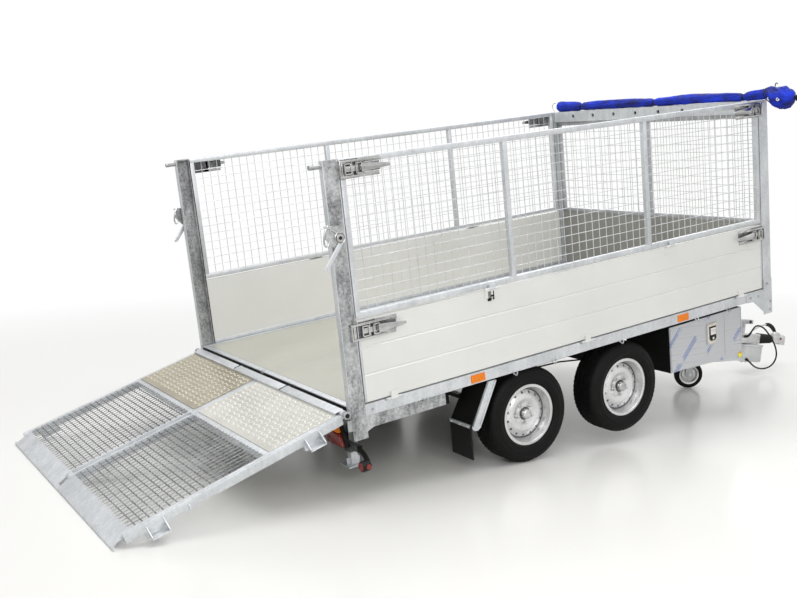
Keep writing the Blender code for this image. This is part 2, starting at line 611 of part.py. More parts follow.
for label, side in SIDES:
    post = post_channel(side, 0.0, POST_DEPTH, 0.0, POST_TOP)
    foot = sbox(side, (0.0, HALF + GAP, POST_BOTTOM), (POST_DEPTH, HALF + 0.004, 0.060))
    foot_tie = sbox(side, (0.0005, HALF - 0.006, 0.0), (POST_DEPTH - 0.0005, HALF + 0.0036, 0.058))
    skirt = outline([(0.0700, RAIL_BOTTOM - GAP), (0.0700, -0.1385), (0.117, -0.120), (SKIRT_LENGTH, -0.120),
                     (SKIRT_LENGTH, RAIL_BOTTOM - GAP)], 0.0060, "XZ", side * (HALF - 0.0005))
    cap = sbox(side, (0.0006, HALF - POST_THICK, POST_TOP - 0.006), (POST_DEPTH - 0.0006, HALF - 0.0006,
                                                                    POST_TOP - 0.0004))
    peg = rod((0.004, side * PEG_Y, POST_TOP - 0.024), (-PEG_LENGTH, side * PEG_Y, POST_TOP - 0.024),
              PEG_RADIUS, 12)
    hook_plate = outline([(0.066, 0.752), (0.058, 0.860), (-0.004, 0.868), (-0.030, 0.850), (-0.030, 0.800),
                          (0.006, 0.760)], 0.004, "XZ", side * (HALF + 0.0145))
    hook_pin = rod((0.040, side * (HALF - 0.002), 0.796), (0.040, side * (HALF + 0.024), 0.796), 0.010, 12)
    hook_ring = rod((-0.022, side * (HALF + 0.010), 0.818), (-0.022, side * (HALF + 0.022), 0.818), 0.016, 12)
    part(f"rear_post_{label}", "galvanised",
         [post, foot, foot_tie, skirt, cap, peg, hook_plate, hook_pin, hook_ring])


# front gate: posts, perforated beam, board and mesh
front_x0 = BED_LENGTH - POST_DEPTH
gate = []
for _, side in SIDES:
    gate.append(post_channel(side, front_x0, BED_LENGTH, 0.0, POST_TOP))
    gate.append(sbox(side, (front_x0, HALF + GAP, POST_BOTTOM), (BED_LENGTH, HALF + 0.004, 0.060)))
    gate.append(sbox(side, (front_x0 + 0.0005, HALF - 0.006, 0.0), (BED_LENGTH - 0.0005, HALF + 0.0036, 0.058)))
    gate.append(outline([(front_x0 + 0.001, -0.012), (front_x0 + 0.001, -0.150), (front_x0 - 0.0996, -0.066),
                         (front_x0 - 0.1636, -0.062), (front_x0 - 0.1636, -0.020)], 0.0036, "XZ",
                         side * (HALF + 0.0022)))
BEAM_LOW = 1.082
beam = box((BED_LENGTH - 0.072, -HALF + 0.002, BEAM_LOW), (BED_LENGTH - 0.014, HALF - 0.002, POST_TOP - 0.0003))
HOLE_Z = BEAM_LOW + 0.040
FIRST_HOLE = HALF - 0.238
HOLE_PITCH = 0.207
holes = [rod((BED_LENGTH - 0.088, FIRST_HOLE - HOLE_PITCH * k, HOLE_Z),
             (BED_LENGTH + 0.002, FIRST_HOLE - HOLE_PITCH * k, HOLE_Z), 0.0130, 8) for k in range(8)]
part("front_gate", "galvanised", gate + [beam], holes)
board_front = box((BOARD_X[0], -HALF + POST_THICK + 0.001, 0.0004), (BOARD_X[1], HALF - POST_THICK - 0.001,
                                                                     BOARD_TOP))
board_tongue = box((BOARD_X[0], -floor_edge, -0.040), (BOARD_X[1], floor_edge, 0.010))
part("front_board", "aluminium", [board_front, board_tongue])
fy = HALF - POST_THICK - 0.001
mesh_x = BED_LENGTH - 0.056
front_mesh = [box((mesh_x, -fy, BOARD_TOP + GAP), (mesh_x + TUBE, fy, BOARD_TOP + TUBE)),
              box((mesh_x, -fy, BEAM_LOW - GAP - TUBE), (mesh_x + TUBE, fy, BEAM_LOW - GAP)),
              box((mesh_x + 0.0005, -fy, BOARD_TOP + 0.001), (mesh_x + TUBE - 0.0005, -fy + TUBE,
                                                              BEAM_LOW - 0.001)),
              box((mesh_x + 0.0005, fy - TUBE, BOARD_TOP + 0.001), (mesh_x + TUBE - 0.0005, fy,
                                                                    BEAM_LOW - 0.001)),
              box((mesh_x + 0.0005, -TUBE / 2, BOARD_TOP + 0.010), (mesh_x + TUBE - 0.0005, TUBE / 2,
                                                                    BEAM_LOW - 0.010))]
for y0, y1 in ((-fy + TUBE, -TUBE / 2), (TUBE / 2, fy - TUBE)):
    front_mesh.append(lattice((y0 - 0.008, BOARD_TOP + TUBE - 0.008), (y1 + 0.008,
                                                                       BEAM_LOW - TUBE + 0.008), 4, 3,
                              WIRE, WIRE, mesh_x + TUBE / 2, "YZ"))
part("front_mesh", "galvanised", front_mesh)


# drop sides and hinged mesh panels
SIDE_X = (POST_DEPTH + PANEL_GAP, front_x0 - PANEL_GAP)


def leaf_roll(side, x, axis_z, face_to, up):
    """The leaf's hinge roll and the strap that carries it."""
    roll = rod((x - 0.0205, side * HINGE_Y, axis_z), (x + 0.0205, side * HINGE_Y, axis_z), KNUCKLE_RADIUS, 8)
    strap = sbox(side, (x - 0.0185, HALF + 0.0012, axis_z + 0.0005), (x + 0.0185, HINGE_Y + 0.0045,
                                                                      axis_z + up))
    tie = sbox(side, (x - 0.0180, HALF - 0.003, axis_z + 0.013), (x + 0.0180, HALF + 0.003,
                                                                  axis_z + up - 0.001))
    return [roll, strap, tie]


def latch(side, x, z, ahead):
    """An over-centre latch: base plate, body block and tapered lever; ahead is +1 for a forward lever."""
    y0 = HALF - 0.0006
    base = sbox(side, (min(x, x + ahead * 0.215), y0, z - 0.046), (max(x, x + ahead * 0.215), y0 + 0.0055,
                                                                   z + 0.046))
    body = sbox(side, (min(x + ahead * 0.005, x + ahead * 0.110), y0 + 0.004, z - 0.034),
                (max(x + ahead * 0.005, x + ahead * 0.110), y0 + 0.026, z + 0.034))
    lever = outline([(x + ahead * 0.060, z - 0.024), (x + ahead * 0.060, z + 0.018), (x + ahead * 0.245,
                                                                                      z + 0.004),
                     (x + ahead * 0.250, z - 0.012)], 0.012, "XZ", side * (y0 + 0.027))
    return [base, body, lever]


# groove centres as fractions of the board's height
GROOVES = (1 / 3, 2 / 3)
for label, side in SIDES:
    y0, y1 = HALF - BOARD_THICK, HALF
    height = BOARD_TOP - BOARD_BOTTOM
    face = [(y0, BOARD_BOTTOM), (y1, BOARD_BOTTOM)]
    for share in GROOVES:
        z = BOARD_BOTTOM + share * height
        face += [(y1, z - 0.006), (y1 - 0.004, z - 0.002), (y1 - 0.004, z + 0.002), (y1, z + 0.006)]
    face += [(y1, BOARD_TOP), (y0, BOARD_TOP)]
    plank = outline([(side * y, z) for y, z in face], SIDE_X[1] - SIDE_X[0], "YZ", sum(SIDE_X) / 2)
    pieces = [plank]
    for x in BOARD_HINGES:
        pieces += leaf_roll(side, x, BOARD_AXIS_Z, 0, 0.034)
    for x in MESH_HINGES:
        pieces += knuckles(side, HINGE_Y, MESH_AXIS_Z, x, HALF + 0.003)
        pieces.append(sbox(side, (x - 0.0465, HALF - 0.002, MESH_AXIS_Z - 0.048),
                           (x + 0.0465, HALF + 0.0060, MESH_AXIS_Z - 0.0062)))
    part(f"side_board_{label}", "aluminium", pieces, pivot=(0.0, side * HINGE_Y, BOARD_AXIS_Z))
    for end, x, ahead in (("rear", SIDE_X[0] + 0.004, 1), ("front", SIDE_X[1] - 0.004, -1)):
        plate = latch(side, x, BOARD_TOP - 0.052, ahead)
        shift = Matrix.Translation((0, side * (0.0006 + GAP), 0))
        for piece in plate:
            piece.data.transform(shift)
        part(f"board_latch_{end}_{label}", "galvanised", plate, pivot=(0.0, side * HINGE_Y, BOARD_AXIS_Z))
    ty0, ty1 = HALF - TUBE, HALF
    tubes = [sbox(side, (SIDE_X[0], ty0, MESH_BOTTOM), (SIDE_X[1], ty1, MESH_BOTTOM + TUBE)),
             sbox(side, (SIDE_X[0], ty0, MESH_TOP - TUBE), (SIDE_X[1], ty1, MESH_TOP))]
    ends = [SIDE_X[0] + TUBE / 2, *UPRIGHTS, SIDE_X[1] - TUBE / 2]
    for index, x in enumerate(ends):
        inset = 0.0004 if index in (0, 3) else 0.004
        tubes.append(sbox(side, (x - TUBE / 2 + inset, ty0 + 0.0005, MESH_BOTTOM + 0.004),
                          (x + TUBE / 2 - inset, ty1 - 0.0005, MESH_TOP - 0.004)))
    for x0, x1 in zip(ends, ends[1:]):
        cells = round((x1 - x0) / WIRE_PITCH)
        tubes.append(lattice((x0 + 0.004, MESH_BOTTOM + TUBE - 0.008), (x1 - 0.004,
                                                                        MESH_TOP - TUBE + 0.008), cells, 3,
                             WIRE, WIRE, side * (HALF - 0.014), "XZ"))
    for x in MESH_HINGES:
        tubes += leaf_roll(side, x, MESH_AXIS_Z, 0, 0.024)
    tubes += latch(side, SIDE_X[0] + 0.002, MESH_TOP - 0.050, 1)
    tubes += latch(side, SIDE_X[1] - 0.002, MESH_TOP - 0.050, -1)
    part(f"mesh_panel_{label}", "galvanised", tubes, pivot=(0.0, side * HINGE_Y, MESH_AXIS_Z))


# ramp tailgate, drawn flat behind its hinge and then lowered
ramp_pivot = Vector((RAMP_AXIS[0], 0, RAMP_AXIS[1]))
top, under = RAMP_AXIS[1] + RAMP_RISE, RAMP_AXIS[1] + RAMP_RISE - RAMP_HEIGHT


def ramp_x(along):
    return RAMP_AXIS[0] - along


def ramp_box(u0, u1, y0, y1, z0, z1):
    return box((ramp_x(u1), y0, z0), (ramp_x(u0), y1, z1))


ramp_pieces = [ramp_box(0.024, TIP_START + 0.040, -RAMP_HALF, -RAMP_HALF + RAMP_SIDE, under, top),
               ramp_box(0.024, TIP_START + 0.040, RAMP_HALF - RAMP_SIDE, RAMP_HALF, under, top),
               ramp_box(0.022, TIP_START + 0.030, -BAR_WIDTH, BAR_WIDTH, under + 0.001, top - 0.0005)]
# cross bars: start, end, drop below the top
for u0, u1, drop in ((0.020, 0.060, 0.0045), (0.215, 0.245, 0.0045), (TREAD_END - 0.010, TREAD_END + 0.030,
                                                                      0.0045),
                     (0.745, 0.765, 0.010)):
    ramp_pieces.append(ramp_box(u0, u1, -RAMP_HALF + 0.004, RAMP_HALF - 0.004, under + 0.002, top - drop))
tip_sheet = outline([(ramp_x(TIP_START), top - 0.001), (ramp_x(TIP_START), top - 0.013),
                     (ramp_x(RAMP_LENGTH), under + 0.002), (ramp_x(RAMP_LENGTH), under + 0.010)],
                    RAMP_WIDTH - 0.001, "XZ", 0.0)
ramp_pieces.append(tip_sheet)
for y0, y1 in ((-RAMP_HALF + RAMP_SIDE, -BAR_WIDTH), (BAR_WIDTH, RAMP_HALF - RAMP_SIDE)):
    grate = lattice((ramp_x(TIP_START + 0.012), y0 - 0.012), (ramp_x(TREAD_END + 0.018), y1 + 0.012), 3, 4,
                    0.007, 0.020,
                    top - 0.0120, "XY")
    ramp_pieces.append(grate)
for y in RAMP_LUGS:
    inside = -1 if y > 0 else 1
    near = y + inside * 0.0330
    ramp_pieces.append(rod((RAMP_AXIS[0], near - 0.020, RAMP_AXIS[1]), (RAMP_AXIS[0], near + 0.020,
                                                                        RAMP_AXIS[1]),
                           HINGE_BOSS, 16))
    ramp_pieces.append(box((ramp_x(0.040), near - 0.0195, RAMP_AXIS[1] - 0.017), (ramp_x(0.004), near + 0.0195,
                                                                                RAMP_AXIS[1] + 0.0030)))
# feet under the side channels: middle, half length
for u in (0.193, 0.990):
    for _, side in SIDES:
        ys = sorted((side * (RAMP_HALF - 0.034), side * (RAMP_HALF - 0.004)))
        ramp_pieces.append(ramp_box(u - 0.050, u + 0.050, ys[0], ys[1], under - 0.030, under + 0.004))
middle_slot = ramp_box(1.105, 1.165, -0.022, 0.022, under - 0.05, top + 0.05)
peg_slots = [ramp_box(1.118, 1.180, s * PEG_Y - 0.020, s * PEG_Y + 0.020, under - 0.05, top + 0.05)
             for _, s in SIDES]
bore_end = pin_end + 0.050
pin_bore = rod((RAMP_AXIS[0], -bore_end, RAMP_AXIS[1]), (RAMP_AXIS[0], bore_end, RAMP_AXIS[1]),
               0.008 + PIN_GAP, 12)
part("ramp_frame", "galvanised", ramp_pieces, [middle_slot, *peg_slots, pin_bore], pivot=ramp_pivot,
     turn=(0, -RAMP_DROP, 0))
for label, side in SIDES:
    ys = sorted((side * (BAR_WIDTH + 0.001), side * (RAMP_HALF - RAMP_SIDE - 0.001)))
    tread = ramp_box(0.030, TREAD_END, ys[0], ys[1], top - 0.0045 + GAP, top)
    part(f"ramp_tread_{label}", "tread_plate", [tread], pivot=ramp_pivot, turn=(0, -RAMP_DROP, 0))


# jockey wheel: clamped tube with crank, sliding leg, swivelling fork, wheel
tube_top, tube_low = 0.020, -0.480
outer_tube = rod((JOCKEY_X, JOCKEY_Y, tube_low), (JOCKEY_X, JOCKEY_Y, tube_top), 0.029, 20)
tube_bore = rod((JOCKEY_X, JOCKEY_Y, tube_low - 0.02), (JOCKEY_X, JOCKEY_Y, -0.040), 0.0245, 20)
crank = [rod((JOCKEY_X, JOCKEY_Y, tube_top - 0.005), (JOCKEY_X, JOCKEY_Y, tube_top + 0.035), 0.012, 12),
         box((JOCKEY_X - 0.012, JOCKEY_Y - 0.130, tube_top + 0.022), (JOCKEY_X + 0.012, JOCKEY_Y + 0.006,
                                                                     tube_top + 0.028)),
         rod((JOCKEY_X, JOCKEY_Y - 0.118, tube_top + 0.024), (JOCKEY_X, JOCKEY_Y - 0.118,
                                                              tube_top + 0.110), 0.011, 12)]
part("jockey_tube", "galvanised", [outer_tube] + crank, [tube_bore])
leg = rod((JOCKEY_X, JOCKEY_Y, -0.622), (JOCKEY_X, JOCKEY_Y, -0.180), 0.0236, 20)
part("jockey_leg", "galvanised", [leg], pivot=(JOCKEY_X, JOCKEY_Y, -0.300))
roll = Vector((math.cos(JOCKEY_TURN), math.sin(JOCKEY_TURN), 0))
axle_dir = Vector((-roll.y, roll.x, 0))
pivot = Vector((JOCKEY_X, JOCKEY_Y, 0))
hub = pivot - roll * JOCKEY_TRAIL + Vector((0, 0, JOCKEY_CENTRE))
spin = Matrix.Rotation(JOCKEY_TURN, 4, "Z")


def fork_box(lo, hi):
    piece = box(lo, hi)
    piece.data.transform(Matrix.Translation((JOCKEY_X, JOCKEY_Y, 0)) @ spin)
    return piece


fork = [fork_box((-0.075, -0.042, -0.634), (0.035, 0.042, -0.6225)),
        fork_box((-0.070, -0.042, JOCKEY_CENTRE - 0.020), (-0.020, -0.037, -0.628)),
        fork_box((-0.070, 0.037, JOCKEY_CENTRE - 0.020), (-0.020, 0.042, -0.628)),
        rod(hub - axle_dir * 0.046, hub + axle_dir * 0.046, 0.008, 12)]
part("jockey_fork", "galvanised", fork, pivot=(JOCKEY_X, JOCKEY_Y, -0.628))
wheel = rod(hub - axle_dir * 0.030, hub + axle_dir * 0.030, JOCKEY_RADIUS, 28)
wheel_bore = rod(hub - axle_dir * 0.060, hub + axle_dir * 0.060, 0.0088, 12)
part("jockey_wheel", "tyre_rubber", [wheel], [wheel_bore], pivot=hub)


# height-adjustable drawbar arm
arm_a = Vector((ARM_PIVOT[0], 0, ARM_PIVOT[1]))
arm_b = Vector((HEAD_PIVOT[0], 0, HEAD_PIVOT[1]))
arm_line = arm_b - arm_a
arm_angle = math.atan2(arm_line.z, arm_line.x)
arm_turn = Matrix.Rotation(-arm_angle, 4, "Y")
shaft = box((0.0, -0.028, -0.034), (arm_line.length, 0.028, 0.034))
shaft.data.transform(Matrix.Translation(arm_a) @ arm_turn)
arm_pieces = [shaft, rod(arm_a + Vector((0, -0.0285, 0)), arm_a + Vector((0, 0.0285, 0)), 0.046, 20),
              rod(arm_b + Vector((0, -0.0285, 0)), arm_b + Vector((0, 0.0285, 0)), 0.046, 20)]
arm_bore = rod(arm_a + Vector((0, -0.06, 0)), arm_a + Vector((0, 0.06, 0)), 0.014 + PIN_GAP, 14)
head_bore = rod(arm_b + Vector((0, -0.06, 0)), arm_b + Vector((0, 0.06, 0)), 0.014 + PIN_GAP, 14)
part("drawbar_arm", "galvanised", arm_pieces, [arm_bore, head_bore], pivot=arm_a)


# coupling unit, drawn level from its pivot and then lowered to the parked slope
def head_point(along, y, up):
    turn = Matrix.Rotation(HEAD_DROP, 4, "Y")
    return arm_b + turn @ Vector((along, y, up))


def head_box(lo, hi):
    piece = box(lo, hi)
    piece.data.transform(Matrix.Translation(arm_b) @ Matrix.Rotation(HEAD_DROP, 4, "Y"))
    return piece


def head_rod(a, b, radius, sides=14, end_radius=None):
    return rod(head_point(*a), head_point(*b), radius, sides, end_radius)


head_pieces = [
    head_box((0.056, -0.036, -0.036), (0.245, 0.036, 0.036)),
    head_box((-0.040, 0.0335, -0.034), (0.075, 0.0455, 0.034)),
    head_box((-0.040, -0.0455, -0.034), (0.075, -0.0335, 0.034)),
    head_rod((0.0, -0.060, 0.0), (0.0, 0.060, 0.0), 0.014),
    head_rod((0.230, 0.0, 0.0), (0.430, 0.0, 0.0), 0.020),
    head_box((0.412, -0.034, -0.028), (0.510, 0.034, 0.030)),
    head_rod((0.535, 0.0, -0.040), (0.535, 0.0, 0.034), 0.040, 16),
    head_box((0.060, -0.010, 0.030), (0.084, 0.010, 0.130)),
    head_box((0.000, -0.012, 0.122), (0.160, 0.012, 0.140)),
]
ball_socket = head_rod((0.535, 0.0, -0.060), (0.535, 0.0, 0.006), 0.026, 16)
part("coupling_unit", "cast_silver", head_pieces, [ball_socket], pivot=arm_b)
gaiter = head_rod((0.2453, 0.0, 0.0), (0.4117, 0.0, 0.0), 0.042, 18, 0.034)
gaiter_bore = head_rod((0.220, 0.0, 0.0), (0.440, 0.0, 0.0), 0.0206, 14)
part("coupling_gaiter", "black_rubber", [gaiter], [gaiter_bore], pivot=arm_b)
lever_points = [(0.215, 0.046, 0.0), (0.235, 0.046, 0.050), (0.330, 0.046, 0.092), (0.425, 0.046, 0.108),
                (0.485, 0.047, 0.088), (0.530, 0.050, 0.054)]
lever_points = [head_point(*p) for p in lever_points]
brake_lever = [pipe(lever_points, 0.009),
               head_rod((0.215, 0.036 + GAP, 0.0), (0.215, 0.056, 0.0), 0.022, 14)]
part("brake_lever", "black_rubber", brake_lever, pivot=arm_b)
case = head_box((0.038, -0.060, -0.178), (0.256, 0.060, -0.056))
lid = head_box((0.034, -0.065, -0.060), (0.260, 0.065, -0.0445))
neck = head_box((0.100, -0.020, -0.046), (0.180, 0.020, -0.036 - GAP))
part("drawbar_case", "grey_plastic", [case, lid, neck], pivot=arm_b)


# free cable: a loop out of the coupling housing and back into the case
# route, given in the coupling unit's own frame: along, across, up
CABLE_ROUTE = ((0.045, -0.058, 0.018), (0.0455, -0.074, 0.0245), (0.048, -0.088, 0.044), (0.056, -0.097, 0.073),
               (0.096, -0.099, 0.108), (0.176, -0.100, 0.096), (0.259, -0.100, 0.044), (0.333, -0.100, -0.022),
               (0.377, -0.100, -0.091), (0.375, -0.100, -0.150), (0.326, -0.100, -0.199), (0.240, -0.101,
                                                                                           -0.220),
               (0.150, -0.106, -0.212), (0.098, -0.103, -0.191), (0.077, -0.089, -0.168), (0.072, -0.073,
                                                                                           -0.157))


def smooth_route(points, spacing):
    """Catmull-Rom curve through the route's points, sampled at even steps."""
    pts = [Vector(p) for p in points]
    pts = [pts[0] * 2 - pts[1]] + pts + [pts[-1] * 2 - pts[-2]]
    dense = []
    for a, b, c, d in zip(pts, pts[1:], pts[2:], pts[3:]):
        for k in range(24):
            t = k / 24
            dense.append(0.5 * ((2 * b) + (c - a) * t + (2 * a - 5 * b + 4 * c - d) * t * t
                                + (3 * b - a - 3 * c + d) * t ** 3))
    dense.append(pts[-2])
    total = sum((q - p).length for p, q in zip(dense, dense[1:]))
    count = max(2, round(total / spacing))
    picked, walked, want = [dense[0]], 0.0, total / count
    for p, q in zip(dense, dense[1:]):
        walked += (q - p).length
        if walked >= want - 1e-9 and len(picked) < count:
            picked.append(q)
            want = total * (len(picked)) / count
    picked.append(dense[-1])
    return picked


cable_path = [head_point(0.045, -0.0459 - GAP, 0.018)]
cable_path += [head_point(*p) for p in smooth_route(CABLE_ROUTE, 0.030)]
cable_path.append(head_point(0.072, -0.0604 - GAP, -0.157))
part("drawbar_cable", "black_rubber", [pipe(cable_path, CABLE_RADIUS)], pivot=arm_b)


# rolled tarpaulin along the front beam, thicker where it is gathered at its right end
# y, radius, height above the beam's top, shift forward
TARP = ((0.900, 0.030, 0.000, 0.000), (0.860, 0.041, 0.000, 0.000), (0.740, 0.037, 0.000, 0.002),
        (0.620, 0.030, 0.001, 0.004), (0.450, 0.034, 0.000, 0.005), (0.150, 0.033, 0.000, 0.005),
        (-0.070, 0.028, 0.001, 0.004), (-0.350, 0.034, 0.000, 0.006), (-0.650, 0.030, 0.001, 0.008),
        (-0.790, 0.026, 0.001, 0.010), (-0.880, 0.032, 0.002, 0.018), (-0.942, 0.034, 0.003, 0.030),
        (-0.964, 0.050, -0.016, 0.034), (-1.005, 0.068, -0.054, 0.036), (-1.060, 0.073, -0.064, 0.036),
        (-1.110, 0.058, -0.052, 0.034), (-1.138, 0.036, -0.036, 0.030))
beam_top = POST_TOP
tarp_path = [(BED_LENGTH - 0.038 + ahead, y, beam_top + GAP + 0.950 * radius + lift)
             for y, radius, lift, ahead in TARP]
tarp_radii = [radius / 0.040 for _, radius, _, _ in TARP]
tarp = pipe(tarp_path, 0.040, 3, tarp_radii)
part("rolled_tarpaulin", "blue_tarpaulin", [tarp], sharp=60)

for leftover in list(cutters.objects):
    if leftover.users_collection and leftover.type in {"MESH", "CURVE"}:
        bpy.data.objects.remove(leftover, do_unlink=True)
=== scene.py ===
import math

import bmesh
import bpy
from mathutils import Matrix, Vector


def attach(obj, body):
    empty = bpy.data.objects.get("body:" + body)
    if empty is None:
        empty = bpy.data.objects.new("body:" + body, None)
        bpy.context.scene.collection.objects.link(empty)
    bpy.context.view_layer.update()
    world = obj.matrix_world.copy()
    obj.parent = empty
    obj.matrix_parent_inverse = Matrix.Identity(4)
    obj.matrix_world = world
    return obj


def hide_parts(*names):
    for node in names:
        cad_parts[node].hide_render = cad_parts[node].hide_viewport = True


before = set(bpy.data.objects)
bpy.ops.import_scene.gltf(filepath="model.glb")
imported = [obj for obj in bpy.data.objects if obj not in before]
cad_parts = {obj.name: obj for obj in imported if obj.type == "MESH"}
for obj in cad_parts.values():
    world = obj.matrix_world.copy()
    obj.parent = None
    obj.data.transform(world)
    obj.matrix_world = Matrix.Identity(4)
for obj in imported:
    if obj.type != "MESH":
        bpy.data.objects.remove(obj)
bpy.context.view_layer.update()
print("frame loaded:", len(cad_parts), "nodes")

# the trailer is drawn in its own frame: X forward from the rear sill, Z square to the load floor
parked = {"noseUp": 7.05, "middle": (1.68531, -0.07178), "sill": 0.460}
stance = (Matrix.Translation((-parked["middle"][0], -parked["middle"][1], parked["sill"]))
          @ Matrix.Rotation(-math.radians(parked["noseUp"]), 4, "Y"))
half = 0.935
sides = (("right", -1), ("left", 1))


def makeCamera():
    view = {"at": (-3.95161, -4.79592, 1.6125), "yaw": 0.9986, "pitch": -0.1388, "roll": 0.0038, "lens": 44.77}
    cy, sy = math.cos(view["yaw"]), math.sin(view["yaw"])
    cp, sp = math.cos(view["pitch"]), math.sin(view["pitch"])
    ahead = Vector((cp * cy, cp * sy, sp))
    right = Vector((sy, -cy, 0))
    up = right.cross(ahead)
    c, s = math.cos(view["roll"]), math.sin(view["roll"])
    right, up = c * right + s * up, c * up - s * right
    data = bpy.data.cameras.new("camera")
    data.lens = view["lens"]
    data.sensor_width = 36
    data.clip_end = 200
    camera = bpy.data.objects.new("camera", data)
    turn = Matrix((right, up, -ahead)).transposed().to_4x4()
    camera.matrix_world = Matrix.Translation(view["at"]) @ turn
    bpy.context.scene.collection.objects.link(camera)
    bpy.context.scene.camera = camera


makeCamera()


# a socket that takes part in plain arithmetic, so a finish reads as a sum
class Wire:
    def __init__(self, tree, socket=None):
        self.tree = tree
        self.socket = socket

    def node(self, kind, settings=(), sockets=(), out=0):
        made = self.tree.nodes.new(kind)
        for key, value in dict(settings).items():
            if key == "stops":
                ramp = made.color_ramp
                while len(ramp.elements) < len(value):
                    ramp.elements.new(0.5)
                for stop, (place, colour) in zip(ramp.elements, value):
                    stop.position = place
                    stop.color = colour
            else:
                setattr(made, key, value)
        for key, value in dict(sockets).items():
            if isinstance(value, Wire):
                self.tree.links.new(value.socket, made.inputs[key])
            else:
                made.inputs[key].default_value = value
        return Wire(self.tree, made.outputs[out])

    def maths(self, operation, first, second):
        return self.node("ShaderNodeMath", {"operation": operation}, {0: first, 1: second})

    def __add__(self, other):
        return self.maths("ADD", self, other)

    def __mul__(self, other):
        return self.maths("MULTIPLY", self, other)

    __radd__ = __add__
    __rmul__ = __mul__


def where(start, stretch=(1, 1, 1), turn=(0, 0, 0)):
    spot = start.node("ShaderNodeTexCoord", out=3)
    return start.node("ShaderNodeMapping", {}, {"Vector": spot, "Scale": stretch, "Rotation": turn})


def cloud(start, scale, detail=3, rough=0.5, stretch=(1, 1, 1), turn=(0, 0, 0)):
    return start.node("ShaderNodeTexNoise", {}, {"Vector": where(start, stretch, turn), "Scale": scale,
                                                 "Detail": detail, "Roughness": rough})


def spread(start, value, low, high, to=(0, 1)):
    return start.node("ShaderNodeMapRange", {}, {"Value": value, "From Min": low, "From Max": high, "To Min": to[0],
                                                 "To Max": to[1]})


def blend(start, first, second, factor):
    ends = [colour if isinstance(colour, Wire) else (*colour, 1.0) for colour in (first, second)]
    return start.node("ShaderNodeMix", {"data_type": "RGBA"}, {0: factor, 6: ends[0], 7: ends[1]}, 2)


def bumped(start, height, strength, distance):
    return start.node("ShaderNodeBump", {}, {"Height": height, "Strength": strength, "Distance": distance})


def makeFinish(name, paint, uniform):
    made = bpy.data.materials.new(name)
    made.use_nodes = True
    tree = made.node_tree
    shader = tree.nodes["Principled BSDF"]
    for key, value in uniform.items():
        shader.inputs[key].default_value = value
    for key, value in paint(Wire(tree)).items():
        if isinstance(value, Wire):
            tree.links.new(value.socket, shader.inputs[key])
        else:
            shader.inputs[key].default_value = value
    return made


# hot-dip zinc: crystals of a slightly different grey, cloudy patches and run marks
def zincPaint(dark, light, patch=1.0, gloss=(0.34, 0.52)):
    def paint(w):
        crystals = w.node("ShaderNodeTexVoronoi", {}, {"Vector": where(w), "Scale": 95}, 1)
        grain = w.node("ShaderNodeSeparateColor", {}, {"Color": crystals})
        patches = spread(w, cloud(w, 5.5, 5, 0.62), 0.36, 0.66)
        runs = spread(w, cloud(w, 9, 4, 0.6, (3.2, 3.2, 0.5)), 0.35, 0.7)
        tone = grain * 0.22 + patches * (0.50 * patch) + runs * 0.28
        colour = blend(w, dark, light, tone)
        rough = spread(w, patches * 0.6 + grain * 0.4, 0, 1, (gloss[1], gloss[0]))
        bump = bumped(w, grain * 0.3 + cloud(w, 140, 2), 0.12, 0.0006)
        return {"Base Color": colour, "Roughness": rough, "Normal": bump}
    return paint


# dull old zinc: dark blotches that break up into a fine speckle; the underbody and latch finishes use it much darker as
# painted shade
def mottledPaint(dark, light):
    def paint(w):
        blotch = spread(w, cloud(w, 6.5, 6, 0.72, (1.6, 1.6, 0.8)), 0.40, 0.60)
        speckle = spread(w, cloud(w, 75, 4, 0.72), 0.38, 0.64)
        tone = blotch * 0.55 + speckle * 0.45
        return {"Base Color": blend(w, dark, light, tone), "Roughness": spread(w, blotch, 0, 1, (0.56, 0.34)),
                "Normal": bumped(w, speckle, 0.14, 0.0008)}
    return paint


def boardPaint(low, high):
    def paint(w):
        drawn = cloud(w, 3, 3, 0.5, (0.6, 60, 160))
        stain = spread(w, cloud(w, 1.4, 4, 0.6), 0.35, 0.7)
        colour = blend(w, low, high, stain * 0.6 + drawn * 0.4)
        rough = spread(w, drawn, 0.3, 0.7, (0.34, 0.46))
        return {"Base Color": colour, "Roughness": rough, "Normal": bumped(w, drawn, 0.05, 0.0008)}
    return paint


def floorPaint(w):
    rolled = cloud(w, 2.2, 5, 0.65, (0.5, 1.6, 1))
    marks = spread(w, cloud(w, 24, 5, 0.7), 0.52, 0.75)
    colour = blend(w, (0.44, 0.44, 0.385), (0.51, 0.505, 0.445), spread(w, rolled, 0.3, 0.7))
    colour = blend(w, colour, (0.58, 0.57, 0.52), marks * 0.35)
    return {"Base Color": colour, "Roughness": spread(w, rolled, 0.3, 0.7, (0.38, 0.56)),
            "Normal": bumped(w, marks, 0.08, 0.001)}


def treadPaint(low, high):
    def paint(w):
        worn = spread(w, cloud(w, 7, 5, 0.6), 0.3, 0.72)
        fine = cloud(w, 160, 2)
        colour = blend(w, low, high, worn * 0.7 + fine * 0.3)
        return {"Base Color": colour, "Roughness": spread(w, fine, 0.3, 0.7, (0.26, 0.42)),
                "Normal": bumped(w, fine, 0.08, 0.0006)}
    return paint


